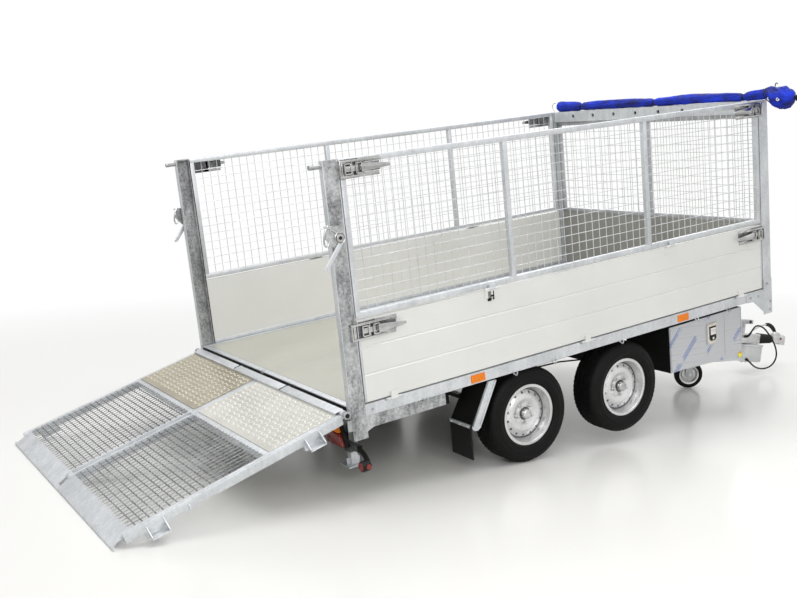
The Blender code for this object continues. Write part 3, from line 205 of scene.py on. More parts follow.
# brushed stainless sheet with a few slanting blue streaks left by its film
def boxPaint(w):
    slope = where(w, turn=(0, math.radians(-40), 0))
    slant = w.node("ShaderNodeTexWave", {"bands_direction": "X"},
                   {"Vector": slope, "Scale": 2.1, "Distortion": 0.8, "Detail": 2.0, "Detail Scale": 1.2})
    fine = w.node("ShaderNodeTexWave", {"bands_direction": "X"}, {"Vector": slope, "Scale": 26, "Distortion": 1.5})
    streak = spread(w, slant, 0.88, 0.93) * spread(w, cloud(w, 9, 3), 0.50, 0.56) * spread(w, fine, 0.30, 0.55)
    drawn = cloud(w, 4, 3, 0.5, (0.5, 20, 60))
    colour = blend(w, (0.53, 0.545, 0.57), (0.60, 0.61, 0.635), drawn)
    colour = blend(w, colour, (0.07, 0.14, 0.44), streak * 0.85)
    return {"Base Color": colour, "Roughness": spread(w, drawn, 0.3, 0.7, (0.27, 0.31)),
            "Normal": bumped(w, fine, 0.02, 0.001)}


def blackPaint(tone, gloss):
    def paint(w):
        dust = spread(w, cloud(w, 8, 5, 0.65), 0.45, 0.8)
        grain = cloud(w, 220, 2)
        colour = blend(w, (tone, tone, tone), (tone * 2.6, tone * 2.6, tone * 2.5), dust * 0.6)
        return {"Base Color": colour, "Roughness": spread(w, dust, 0, 1, (gloss, gloss + 0.16)),
                "Normal": bumped(w, grain, 0.16, 0.0006)}
    return paint


def silverPaint(low, high, rough):
    def paint(w):
        fleck = cloud(w, 420, 1)
        broad = spread(w, cloud(w, 9, 4), 0.35, 0.7)
        colour = blend(w, low, high, broad * 0.7 + fleck * 0.3)
        return {"Base Color": colour, "Roughness": spread(w, fleck, 0.3, 0.7, (rough, rough + 0.1)),
                "Normal": bumped(w, fleck, 0.05, 0.0004)}
    return paint


def lensPaint(deep, bright):
    def paint(w):
        prisms = w.node("ShaderNodeTexVoronoi", {"distance": "CHEBYCHEV"}, {"Vector": where(w), "Scale": 190})
        colour = blend(w, deep, bright, spread(w, prisms, 0.1, 0.7))
        return {"Base Color": colour, "Normal": bumped(w, prisms, 0.35, 0.001)}
    return paint


# coated weave: a fine cross thread with broad soft creases; the blue is painted dark in the creases as shade and paler
# on the ridges as highlight
def tarpPaint(w):
    creases = cloud(w, 16, 5, 0.6, (1, 0.45, 1))
    warp = w.node("ShaderNodeTexWave", {"bands_direction": "Y"}, {"Vector": where(w), "Scale": 130})
    weft = w.node("ShaderNodeTexWave", {"bands_direction": "Z"}, {"Vector": where(w), "Scale": 130})
    # painted shade and highlight: darker blue in the crease hollows, paler on the ridges
    creaseShadeAndHighlight = spread(w, creases, 0.36, 0.66)
    colour = blend(w, (0.003, 0.008, 0.13), (0.008, 0.045, 0.72), creaseShadeAndHighlight)
    return {"Base Color": colour, "Roughness": spread(w, creases, 0.3, 0.7, (0.42, 0.60)),
            "Normal": bumped(w, creases + (warp + weft) * 0.04, 0.9, 0.014)}


# each finish: its material's name, its paint, and what is the same all over the surface
dull = "Specular IOR Level"
finishTable = {
    "zinc": ("zinc", zincPaint((0.30, 0.31, 0.325), (0.62, 0.63, 0.65), 1.0, (0.28, 0.46)), {"Metallic": 0.75}),
    "paleZinc": ("pale_zinc", zincPaint((0.50, 0.52, 0.54), (0.80, 0.82, 0.84), 0.8), {"Metallic": 0.6}),
    "darkZinc": ("dark_zinc", mottledPaint((0.16, 0.165, 0.17), (0.64, 0.65, 0.66)), {"Metallic": 0.5}),
    "wire": ("zinc_wire", zincPaint((0.50, 0.51, 0.52), (0.76, 0.77, 0.78)), {"Metallic": 0.5}),
    "grating": ("grating_zinc", zincPaint((0.14, 0.15, 0.16), (0.42, 0.43, 0.44)), {"Metallic": 0.6}),
    # painted shade: the chassis frame and bed beam take this near-black zinc to stand in for the shade under the bed
    "underbody": ("shaded_zinc", mottledPaint((0.035, 0.04, 0.038), (0.17, 0.18, 0.175)), {"Metallic": 0.5}),
    "board": ("alloy_board", boardPaint((0.74, 0.74, 0.715), (0.84, 0.84, 0.815)), {"Metallic": 0.25}),
    # painted shade: the front board takes the side boards' alloy paint darkened to stand in for the shade it lies in
    "shadedGateBoard": ("gate_board_painted_shade", boardPaint((0.24, 0.24, 0.225), (0.36, 0.36, 0.34)), {"Metallic": 0.35}),
    "floor": ("floor_sheet", floorPaint, {"Metallic": 0.25}),
    "goldTread": ("tread_warm", treadPaint((0.31, 0.275, 0.20), (0.46, 0.42, 0.33)), {"Metallic": 0.5}),
    "paleTread": ("tread_pale", treadPaint((0.58, 0.57, 0.51), (0.72, 0.71, 0.655)), {"Metallic": 0.5}),
    # painted highlight: the raised tread bars are much lighter than their plates for the light they catch
    "goldBarHighlit": ("tread_warm_raised_highlit", silverPaint((0.58, 0.54, 0.42), (0.78, 0.74, 0.62), 0.18), {"Metallic": 0.6}),
    "paleBarHighlit": ("tread_pale_raised_highlit", silverPaint((0.72, 0.71, 0.66), (0.84, 0.83, 0.79), 0.28), {"Metallic": 0.35}),
    "box": ("filmed_stainless", boxPaint, {"Metallic": 0.45}),
    "black": ("black_steel", blackPaint(0.006, 0.42), {"Metallic": 0.1, dull: 0.28}),
    "rubber": ("moulded_rubber", blackPaint(0.006, 0.52), {dull: 0.25}),
    "tyre": ("tyre_rubber", blackPaint(0.0035, 0.56), {dull: 0.16}),
    "rim": ("rim_silver", silverPaint((0.60, 0.60, 0.605), (0.76, 0.76, 0.765), 0.24), {"Metallic": 0.85}),
    # painted shade: dark hole bottoms, groove, collar and stud seats on the rims
    "shadedRim": ("rim_painted_shade", silverPaint((0.07, 0.07, 0.07), (0.15, 0.15, 0.15), 0.4), {"Metallic": 0.5}),
    # painted shade: the dark plates behind the latches and the grating's cross bars stand in for the shade in their
    # gaps
    "latch": ("latch_painted_shade", mottledPaint((0.05, 0.05, 0.052), (0.30, 0.30, 0.31)), {"Metallic": 0.6}),
    "cast": ("zinc_casting", silverPaint((0.56, 0.565, 0.57), (0.78, 0.78, 0.78), 0.30), {"Metallic": 0.65}),
    "plated": ("bright_plated", silverPaint((0.36, 0.36, 0.36), (0.70, 0.70, 0.69), 0.16), {"Metallic": 0.95}),
    "chrome": ("polished_rod", silverPaint((0.70, 0.70, 0.71), (0.82, 0.82, 0.82), 0.10), {"Metallic": 1.0}),
    "grey": ("grey_moulding", silverPaint((0.64, 0.66, 0.66), (0.76, 0.78, 0.775), 0.36), {}),
    "cream": ("cream_plate", silverPaint((0.70, 0.64, 0.55), (0.80, 0.74, 0.66), 0.35), {}),
    "red": ("red_lens", lensPaint((0.13, 0.006, 0.004), (0.28, 0.018, 0.008)),
            {"Roughness": 0.16, "Coat Weight": 0.3, "Coat Roughness": 0.05}),
    "amber": ("amber_lens", lensPaint((0.80, 0.17, 0.008), (0.92, 0.27, 0.012)), {"Roughness": 0.22, dull: 0.3}),
    "yellow": ("yellow_disc", silverPaint((0.78, 0.74, 0.05), (0.88, 0.85, 0.10), 0.4), {}),
    "tarp": ("blue_tarpaulin", tarpPaint, {dull: 0.28}),
}
finishes = {key: makeFinish(*row) for key, row in finishTable.items()}
print("finishes mixed:", len(finishes))

# each modelled node takes the finish of its real surface, except that the dark zinc of the chassis frame and bed beam,
# the dark front board and the black of the mudguard sheets are painted shade
nodeFinish = {
    "chassis_frame": "underbody", "prop_stand": "paleZinc", "axle": "black", "tyre": "tyre", "rim": "rim",
    "mudguard": "black", "rear_lamp": "red", "marker_lamp": "rubber", "tool_box": "black", "tool_box_door": "box",
    "tip_cylinder_barrel": "black", "tip_cylinder_rod": "chrome", "bed_frame": "paleZinc", "bed_beam": "underbody",
    "cylinder_bracket": "zinc", "bed_floor": "floor", "rear_post": "darkZinc", "front_gate": "paleZinc",
    "front_board": "shadedGateBoard", "front_mesh": "zinc", "side_board": "board", "board_latch": "zinc",
    "mesh_panel": "zinc", "ramp_frame": "paleZinc", "ramp_tread_right": "paleTread", "ramp_tread_left": "goldTread",
    "jockey_tube": "zinc", "jockey_leg": "zinc", "jockey_fork": "zinc", "jockey_wheel": "rubber",
    "drawbar_arm": "zinc", "coupling_unit": "cast", "coupling_gaiter": "rubber", "brake_lever": "rubber",
    "drawbar_case": "grey", "drawbar_cable": "rubber", "rolled_tarpaulin": "tarp",
}
for nodeName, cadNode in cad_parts.items():
    key = max((k for k in nodeFinish if nodeName.startswith(k)), key=len)
    for cadSlot in cadNode.material_slots:
        cadSlot.material = finishes[nodeFinish[key]]


# drawing tools: each adds one solid to a mesh in the making
def join(bm, part, place=None):
    mesh = bpy.data.meshes.new("part")
    bmesh.ops.recalc_face_normals(part, faces=part.faces)
    part.to_mesh(mesh)
    part.free()
    if place:
        mesh.transform(place)
    bm.from_mesh(mesh)
    bpy.data.meshes.remove(mesh)


def block(bm, lo, hi, soft=0.0):
    lo, hi = [min(a, b) for a, b in zip(lo, hi)], [max(a, b) for a, b in zip(lo, hi)]
    size = [b - a for a, b in zip(lo, hi)]
    part = bmesh.new()
    bmesh.ops.create_cube(part, size=1.0)
    bmesh.ops.scale(part, vec=size, verts=part.verts)
    bmesh.ops.translate(part, vec=[(a + b) / 2 for a, b in zip(lo, hi)], verts=part.verts)
    if soft:
        bmesh.ops.bevel(part, geom=list(part.edges), offset=min(soft, 0.4 * min(size)), segments=2, profile=0.5,
                        affect="EDGES")
    join(bm, part)


def bar(bm, start, end, radius, steps=14, endRadius=None, soft=0.0):
    start, end = Vector(start), Vector(end)
    part = bmesh.new()
    bmesh.ops.create_cone(part, cap_ends=True, segments=steps, radius1=radius,
                          radius2=radius if endRadius is None else endRadius, depth=(end - start).length)
    if soft:
        rims = [e for e in part.edges if len(e.link_faces) == 2 and e.calc_face_angle(0) > 1.0]
        bmesh.ops.bevel(part, geom=rims, offset=soft, segments=2, profile=0.5, affect="EDGES")
    aim = (end - start).to_track_quat("Z", "Y").to_matrix().to_4x4()
    join(bm, part, Matrix.Translation((start + end) / 2) @ aim)


def skin(bm, rings):
    for a, b in zip(rings, rings[1:]):
        for k in range(len(a)):
            j = (k + 1) % len(a)
            bm.faces.new((a[k], a[j], b[j], b[k]))


# places round a circle, from the angle's cosine and sine
def around(count, place):
    turns = [2 * math.pi * k / count for k in range(count)]
    return [place(math.cos(turn), math.sin(turn)) for turn in turns]


def tube(bm, points, radius, steps=8, radii=None, closed=False):
    points = [Vector(p) for p in points]
    count = len(points)
    rings = []
    across = None
    for i, point in enumerate(points):
        before = points[i - 1] if i or closed else point
        after = points[(i + 1) % count] if i < count - 1 or closed else point
        along = (after - before).normalized()
        if across is None:
            across = along.cross(Vector((0, 0, 1)) if abs(along.z) < 0.9 else Vector((1, 0, 0))).normalized()
        across = (across - along * across.dot(along)).normalized()
        over = along.cross(across)
        r = radius * (radii[i] if radii else 1)
        rings.append([bm.verts.new(spot) for spot in around(steps, lambda c, s: point + (across * c + over * s) * r)])
    skin(bm, rings + rings[:1] if closed else rings)
    if not closed:
        bm.faces.new(rings[0][::-1])
        bm.faces.new(rings[-1])


def lathe(bm, profile, steps, centre, axis, shape=None):
    axis = Vector(axis).normalized()
    one = axis.orthogonal().normalized()
    two = axis.cross(one)
    rings = []
    for i, (r, h) in enumerate(profile):
        if r < 1e-6:
            rings.append([bm.verts.new(Vector(centre) + axis * h)])
            continue
        ring = []
        for k in range(steps):
            turn = 2 * math.pi * k / steps
            reach = shape(i, k, r) if shape else r
            ring.append(bm.verts.new(Vector(centre) + axis * h + (one * math.cos(turn) + two * math.sin(turn)) * reach))
        rings.append(ring)
    for a, b in zip(rings, rings[1:]):
        for k in range(steps):
            j = (k + 1) % steps
            if len(a) == 1 and len(b) > 1:
                bm.faces.new((a[0], b[j], b[k]))
            elif len(b) == 1 and len(a) > 1:
                bm.faces.new((a[k], a[j], b[0]))
            elif len(a) > 1:
                bm.faces.new((a[k], a[j], b[j], b[k]))


# where a flat drawing stands: "XZ" along the trailer, "YZ" across it
def drawnIn(plane, level):
    return {"XZ": lambda a, b, d: (a, level + d, b), "YZ": lambda a, b, d: (level + d, a, b)}[plane]


# a flat outline given by (a, b) pairs, pushed out to a thickness
def plate(bm, points, thick, plane, level, soft=0.0):
    put = drawnIn(plane, level)
    part = bmesh.new()
    low = [part.verts.new(put(a, b, -thick / 2)) for a, b in points]
    high = [part.verts.new(put(a, b, thick / 2)) for a, b in points]
    part.faces.new(low)
    part.faces.new(high[::-1])
    for k in range(len(points)):
        j = (k + 1) % len(points)
        part.faces.new((low[k], high[k], high[j], low[j]))
    if soft:
        bmesh.ops.recalc_face_normals(part, faces=part.faces)
        bmesh.ops.bevel(part, geom=list(part.edges), offset=soft, segments=2, profile=0.5, affect="EDGES")
    join(bm, part)


def hexBolt(bm, at, axis, size=0.008, high=0.006):
    at, axis = Vector(at), Vector(axis).normalized()
    bar(bm, at - axis * 0.0006, at + axis * 0.0018, size * 1.45, 18, soft=0.0003)
    bar(bm, at + axis * 0.0006, at + axis * high, size, 6, soft=0.0008)
    bar(bm, at + axis * (high - 0.001), at + axis * (high + 0.004), size * 0.55, 12, soft=0.0006)


def makePiece(name, bm, finish, body, standsFor=None, sharp=35, place=None):
    bmesh.ops.remove_doubles(bm, verts=bm.verts, dist=0.00001)
    bmesh.ops.recalc_face_normals(bm, faces=bm.faces)
    mesh = bpy.data.meshes.new(name)
    bm.to_mesh(mesh)
    bm.free()
    mesh.transform(stance @ place if place else stance)
    mesh.shade_smooth()
    mesh.set_sharp_from_angle(angle=math.radians(sharp))
    mesh.materials.append(finishes[finish])
    piece = bpy.data.objects.new(name, mesh)
    bpy.context.scene.collection.objects.link(piece)
    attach(piece, body)
    if standsFor:
        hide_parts(standsFor)
    return piece


# a turned profile that is the same on both sides of its middle
def mirrored(profile):
    return profile + [(r, -h) for r, h in reversed(profile) if h]


# drawbar head: its own frame starts at the arm's far pivot and slopes down a little
head = {"pivot": (3.879, 0, -0.656), "drop": 13.9}
headPlace = Matrix.Translation(head["pivot"]) @ Matrix.Rotation(math.radians(head["drop"]), 4, "Y")

# free cable: a loop out of the coupling housing and back into the case; along, across, up in the head's frame
cable = {
    "route": ((0.045, -0.058, 0.018), (0.0455, -0.074, 0.0245), (0.048, -0.088, 0.044), (0.056, -0.097, 0.073),
              (0.096, -0.099, 0.108), (0.176, -0.100, 0.096), (0.259, -0.100, 0.044), (0.333, -0.100, -0.022),
              (0.377, -0.100, -0.091), (0.375, -0.100, -0.150), (0.326, -0.100, -0.199), (0.240, -0.101, -0.220),
              (0.150, -0.106, -0.212), (0.098, -0.103, -0.191), (0.077, -0.089, -0.168), (0.072, -0.073, -0.157)),
    "start": (0.045, -0.0462, 0.018), "end": (0.072, -0.0607, -0.157), "radius": 0.006, "spacing": 0.029,
    "ease": 0.19,  # rounds the tight corners so the cable keeps four diameters of bend
    # tapered sleeves where the cable leaves the housing and enters the case: points and the thickness at each
    "sleeve": 0.0075,
    "sleeves": ((((0.045, -0.0462, 0.018), (0.045, -0.056, 0.018), (0.0452, -0.068, 0.0208), (0.0461, -0.079, 0.029),
                  (0.048, -0.088, 0.044), (0.0515, -0.0932, 0.058)), (1.5, 1.42, 1.24, 1.12, 1.0, 0.88)),
                (((0.072, -0.0607, -0.157), (0.072, -0.0697, -0.157), (0.0742, -0.0807, -0.1615)), (1.5, 1.4, 0.95))),
}


# evenly spaced points on a smooth curve through the route
def smoothRoute(points, spacing):
    pts = [Vector(p) for p in points]
    pts = [pts[0] * 2 - pts[1]] + pts + [pts[-1] * 2 - pts[-2]]
    dense = []
    for a, b, c, d in zip(pts, pts[1:], pts[2:], pts[3:]):
        for k in range(24):
            t = k / 24
            dense.append(0.5 * ((2 * b) + (c - a) * t + (2 * a - 5 * b + 4 * c - d) * t * t
                                + (3 * b - a - 3 * c + d) * t ** 3))
    dense.append(pts[-2])
    total = sum((q - p).length for p, q in zip(dense, dense[1:]))
    count = max(2, round(total / spacing))
    picked, walked, want = [dense[0]], 0.0, total / count
    for p, q in zip(dense, dense[1:]):
        walked += (q - p).length
        if walked >= want - 1e-9 and len(picked) < count:
            picked.append(q)
            want = total * len(picked) / count
    picked.append(dense[-1])
    return picked


def makeCable():
    points = [Vector(cable["start"])] + smoothRoute(cable["route"], cable["spacing"])[1:-1] + [Vector(cable["end"])]
    eased = [b.lerp((a + c) / 2, cable["ease"]) for a, b, c in zip(points, points[1:], points[2:])]
    points = [stance @ headPlace @ p for p in [points[0]] + eased + [points[-1]]]
    curve = bpy.data.curves.new("drawbar_cable_loop", "CURVE")
    curve.dimensions = "3D"
    curve.bevel_depth = cable["radius"]
    curve.bevel_resolution = 5
    curve.resolution_u = 6
    curve.use_fill_caps = True
    spline = curve.splines.new("BEZIER")
    spline.bezier_points.add(len(points) - 1)
    for knot, point in zip(spline.bezier_points, points):
        knot.co = point
        knot.handle_left_type = knot.handle_right_type = "AUTO"
    curve.materials.append(finishes["rubber"])
    piece = bpy.data.objects.new("drawbar_cable_loop", curve)
    bpy.context.scene.collection.objects.link(piece)
    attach(piece, "coupling_head")
    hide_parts("drawbar_cable")
    length = sum((b - a).length for a, b in zip(points, points[1:]))
    bm = bmesh.new()
    for run, thick in cable["sleeves"]:
        tube(bm, run, cable["sleeve"], 16, thick)
    sleeves = makePiece("cable_sleeves", bm, "rubber", "coupling_head", place=headPlace)


makeCable()
print("camera and cable placed")


# wheels: a tyre with grooves and shoulder lugs, a pressed rim with a ring of holes, a hub cap and studs
wheels = {
    "axles": (("rear", 1.100, -0.334), ("front", 1.812, -0.356)), "track": 0.8125, "steps": 180, "lugs": 60,
    "bead": 0.1532, "holes": 15, "holeRing": 0.1180, "holeSize": 0.0072, "studs": 5, "studRing": 0.0490,
    # half of the tyre's section, from the bead over the wall to the middle of the tread
    "tyre": [(0.1532, 0.0700), (0.1600, 0.0708), (0.1690, 0.0717), (0.1712, 0.0790), (0.1740, 0.0858),
             (0.1790, 0.0885), (0.1850, 0.0900), (0.1868, 0.0886), (0.1886, 0.0904), (0.2040, 0.0925),
             (0.2180, 0.0914), (0.2196, 0.0899), (0.2214, 0.0909), (0.2330, 0.0884), (0.2440, 0.0836),
             (0.2520, 0.0778), (0.2580, 0.0710), (0.2618, 0.0640), (0.2628, 0.0560), (0.2632, 0.0440),
             (0.2632, 0.0400), (0.2570, 0.0385), (0.2570, 0.0345), (0.2634, 0.0330), (0.2635, 0.0200),
             (0.2635, 0.0060), (0.2572, 0.0045), (0.2572, 0.0)],
    "groove": [(0.1300, 0.0298), (0.1335, 0.0284), (0.1368, 0.0299), (0.1368, 0.0292), (0.1335, 0.0276),
               (0.1300, 0.0290), (0.1300, 0.0298)],
    "collar": [(0.0282, 0.0400), (0.0360, 0.0412), (0.0362, 0.0396), (0.0282, 0.0392), (0.0282, 0.0400)],
    "cap": [(0.0275, 0.0300), (0.0275, 0.0590), (0.0262, 0.0650), (0.0225, 0.0690), (0.0120, 0.0705),
            (0.0110, 0.0698), (0, 0.0698)],
}
tyreProfile = mirrored(wheels["tyre"])
lastTyre = len(tyreProfile) - 1


def treadShape(i, k, r):
    near = min(i, lastTyre - i)
    every = wheels["steps"] // wheels["lugs"]
    if 14 <= near <= 18 and (k + near // 2) % every == 0:
        return r - 0.0042
    if 23 <= near <= 25 and (k + 1) % every == 0:
        return r - 0.0035
    return r


def pressedRim(bm, centre, out):
    axis = Vector((0, out, 0))
    one = axis.orthogonal().normalized()
    two = axis.cross(one)
    steps = wheels["holes"] * 6

    def spot(r, h, k):
        turn = 2 * math.pi * k / steps
        return centre + axis * h + (one * math.cos(turn) + two * math.sin(turn)) * r

    def disc(r):
        # height of the pressed disc at a radius
        curve = ((0.028, 0.0385), (0.036, 0.0400), (0.040, 0.0385), (0.060, 0.0385), (0.066, 0.0410), (0.084, 0.0490),
                 (0.092, 0.0500), (0.100, 0.0475), (0.132, 0.0300))
        for (r0, h0), (r1, h1) in zip(curve, curve[1:]):
            if r <= r1:
                return h0 + (h1 - h0) * max(0, r - r0) / (r1 - r0)
        return 0.0300

    # rings of the disc up to the band with the holes, and from there over the well and flange to the inside
    inner = [0.0275, 0.031, 0.036, 0.040, 0.044, 0.054, 0.060, 0.066, 0.074, 0.084, 0.092, 0.100, 0.1085]
    rings = [[bm.verts.new(spot(r, disc(r) + stud(r, k, steps), k)) for k in range(steps)] for r in inner]
    outer = [(0.1275, disc(0.1275)), (0.1305, 0.0290), (0.1335, 0.0275), (0.1365, 0.0290), (0.1390, 0.0340),
             (0.1420, 0.0440), (0.1450, 0.0500), (0.1478, 0.0530), (0.1492, 0.0600), (0.1500, 0.0735), (0.1525, 0.0768),
             (0.1600, 0.0774), (0.1670, 0.0768), (0.1674, 0.0745), (0.1668, 0.0722), (0.1560, 0.0712), (0.1520, 0.0700),
             (0.1370, 0.0360), (0.1370, -0.0360), (0.1525, -0.0712), (0.1670, -0.0722), (0.1672, -0.0768),
             (0.1490, -0.0768), (0.1470, -0.0690), (0.1345, -0.0370), (0.1345, 0.0180), (0.1100, 0.0300),
             (0.0880, 0.0420), (0.0560, 0.0300), (0.0275, 0.0300)]
    ringsOut = [[bm.verts.new(spot(r, h, k)) for k in range(steps)] for r, h in outer]
    for group in (rings, ringsOut):
        skin(bm, group)
    # the band: one round hole in the middle of each of its fields, with a short turned-in wall
    for hole in range(wheels["holes"]):
        edge = [rings[-1][(hole * 6 + k) % steps] for k in range(7)]
        edge += [ringsOut[0][(hole * 6 + k) % steps] for k in range(6, -1, -1)]
        middle = hole * 6 + 3
        lip, wall = [], []
        for vert in edge:
            flat = vert.co - centre
            r = Vector((flat.dot(one), flat.dot(two))).length
            turn = math.atan2(flat.dot(two), flat.dot(one)) - 2 * math.pi * middle / steps
            turn = (turn + math.pi) % (2 * math.pi) - math.pi
            aim = Vector((r - wheels["holeRing"], turn * wheels["holeRing"])).normalized() * wheels["holeSize"]
            rr = wheels["holeRing"] + aim.x
            kk = middle + aim.y / wheels["holeRing"] * steps / (2 * math.pi)
            lip.append(bm.verts.new(spot(rr, disc(rr) - 0.0002, kk)))
            wall.append(bm.verts.new(spot(rr, disc(rr) - 0.0050, kk)))
        for k in range(len(edge)):
            j = (k + 1) % len(edge)
            bm.faces.new((edge[k], edge[j], lip[j], lip[k]))
            bm.faces.new((lip[k], lip[j], wall[j], wall[k]))


def stud(r, k, steps):
    # soft dish round each stud seat
    near = min(abs((k / steps * wheels["studs"]) % 1 - 0.5), 0.5)
    far = math.hypot(r - wheels["studRing"], near / wheels["studs"] * 2 * math.pi * r)
    return -0.0035 * max(0.0, 1 - far / 0.014) if 0.036 < r < 0.066 else 0.0


def ringSeats(centre, out, radius, count):
    one = out.orthogonal().normalized()
    two = out.cross(one)
    turns = [2 * math.pi * (k + 0.5) / count for k in range(count)]
    return [centre + (one * math.cos(turn) + two * math.sin(turn)) * radius for turn in turns]


for axle, wheelX, wheelZ in wheels["axles"]:
    for label, side in sides:
        centre = Vector((wheelX, side * wheels["track"], wheelZ))
        out = Vector((0, side, 0))
        body = f"wheel_{axle}_{label}"
        studs = ringSeats(centre, out, wheels["studRing"], wheels["studs"])
        bm = bmesh.new()
        closing = [(wheels["bead"], -0.0690), (wheels["bead"], 0.0690), tyreProfile[0]]
        lathe(bm, tyreProfile + closing, wheels["steps"], centre, out, treadShape)
        makePiece(f"tyre_{axle}_{label}_tread", bm, "tyre", body, f"tyre_{axle}_{label}", sharp=50)
        bm = bmesh.new()
        pressedRim(bm, centre, side)
        makePiece(f"rim_{axle}_{label}_pressed", bm, "rim", body, f"rim_{axle}_{label}", sharp=45)
        # painted shade: the shadowed bottoms of the holes, and the deep groove round the disc, a collar and the stud
        # seats, all darkened as shade
        bm = bmesh.new()
        for seat in ringSeats(centre, out, wheels["holeRing"], wheels["holes"]):
            bar(bm, seat + out * 0.0318, seat + out * 0.0350, wheels["holeSize"] * 0.96, 14)
        lathe(bm, wheels["groove"], 90, centre, out)
        lathe(bm, wheels["collar"], 60, centre, out)
        for seat in studs:
            bar(bm, seat + out * 0.0335, seat + out * 0.0372, 0.0128, 18)
        makePiece(f"rim_{axle}_{label}_recess", bm, "shadedRim", body, f"rim_{axle}_{label}", sharp=60)
        bm = bmesh.new()
        lathe(bm, wheels["cap"], 40, centre, out)
        for seat in studs:
            bar(bm, seat + out * 0.0340, seat + out * 0.0420, 0.0100, 16, 0.0088, 0.0012)
            bar(bm, seat + out * 0.0400, seat + out * 0.0540, 0.0085, 6, 0.0080, 0.0014)
        makePiece(f"hub_{axle}_{label}_cap_and_studs", bm, "plated", body, sharp=40)
print("wheels turned")


# drop sides: mesh panels of square tube and 50 mm welded wire
panel = {"x": (0.0844, 2.9936), "uprights": (1.040, 2.030), "z": (0.414, 1.157), "tube": 0.028, "pitch": 0.0497,
         "wire": 0.0020, "hinges": (0.880, 2.190), "boardHinges": (0.243, 1.505, 2.779), "hingeY": 0.945,
         "meshAxis": 0.4095, "knuckle": 0.007, "latchDrop": 0.050, "buckleHigh": 0.353}


def wireField(bm, a0, a1, b0, b1, level, plane, pitch, radius):
    # upright wires on the outer face, level wires behind them, as welded mesh is laid
    place = drawnIn(plane, level)
    count = round((a1 - a0) / pitch)
    for k in range(1, count):
        a = a0 + (a1 - a0) * k / count
        tube(bm, [place(a, b0 - 0.004, radius), place(a, b1 + 0.004, radius)], radius, 6)
    count = round((b1 - b0) / pitch)
    for k in range(1, count):
        b = b0 + (b1 - b0) * k / count
        tube(bm, [place(a0 - 0.004, b, -radius * 0.8), place(a1 + 0.004, b, -radius * 0.8)], radius, 6)


# over-centre latch: base channel with two prongs, square keeper loops, a tapered lever and rivets
def buckle(bm, backing, side, x, z, ahead, y0, back=0.012):
    def box(x0, x1, d0, d1, z0, z1, soft=0.0012, into=None):
        block(into or bm, (x + ahead * x0, side * (y0 + d0), z + z0), (x + ahead * x1, side * (y0 + d1), z + z1), soft)

    # painted shade: the base channel and the plate between the prongs go into the dark backing to stand in for the
    # shade behind the latch
    box(0.0, 0.125, 0.0, 0.0040, -0.044, 0.044, into=backing)
    box(0.095, 0.215, 0.0, 0.0045, 0.022, 0.044)
    box(0.095, 0.205, 0.0, 0.0045, -0.044, -0.024)
    box(0.110, 0.210, 0.0, 0.0030, -0.022, 0.020, into=backing)
    for low, high in ((0.030, 0.040), (-0.040, -0.030)):
        box(-back, 0.150, 0.003, 0.020, low, high, 0.0015)
    box(-back, -back + 0.008, 0.002, 0.0215, -0.042, 0.042, 0.0020)
    box(-back + 0.014, -back + 0.026, 0.004, 0.014, -0.032, 0.032, 0.0020)
    # keeper loops
    for start in (0.010, 0.070):
        frameX = (start, start + 0.040)
        for z0, z1 in ((-0.027, -0.020), (0.020, 0.027)):
            box(frameX[0], frameX[1], 0.016, 0.024, z0, z1, 0.002)
        for x0, x1 in ((frameX[0], frameX[0] + 0.007), (frameX[1] - 0.007, frameX[1])):
            box(x0, x1, 0.016, 0.024, -0.027, 0.027, 0.002)
    box(0.014, 0.110, 0.010, 0.017, -0.013, 0.013, 0.002)
    # lever: a folded taper with a raised spine
    lever = [(0.096, -0.017), (0.096, 0.019), (0.120, 0.020), (0.245, 0.007), (0.252, 0.000), (0.248, -0.009),
             (0.120, -0.018)]
    plate(bm, [(x + ahead * a, z + b) for a, b in lever], 0.0040, "XZ", side * (y0 + 0.0290), 0.0012)
    box(0.100, 0.118, 0.006, 0.030, -0.016, 0.018, 0.002)
    spine = [(0.112, -0.006), (0.112, 0.008), (0.225, 0.004), (0.225, -0.002)]
    plate(bm, [(x + ahead * a, z + b) for a, b in spine], 0.0030, "XZ", side * (y0 + 0.0318), 0.0010)
    # cross pins and rivets
    for a in (0.020, 0.058, 0.088):
        pin, level = x + ahead * a, side * (y0 + 0.010)
        bar(bm, (pin, level, z - 0.030), (pin, level, z + 0.030), 0.0045, 12)
    for a, b in ((0.185, 0.031), (0.185, -0.032), (0.130, 0.031), (0.130, -0.032)):
        rivet = x + ahead * a
        bar(bm, (rivet, side * (y0 + 0.003), z + b), (rivet, side * (y0 + 0.0075), z + b), 0.0048, 12, 0.0035, 0.0008)


def hingeLeaf(bm, side, x, axisZ, up):
    y = side * panel["hingeY"]
    bar(bm, (x - 0.0205, y, axisZ), (x + 0.0205, y, axisZ), panel["knuckle"], 16, soft=0.0008)
    block(bm, (x - 0.0185, side * (half + 0.0012), axisZ + 0.0008), (x + 0.0185, side * (panel["hingeY"] + 0.0045),
                                                                   axisZ + up), 0.0010)


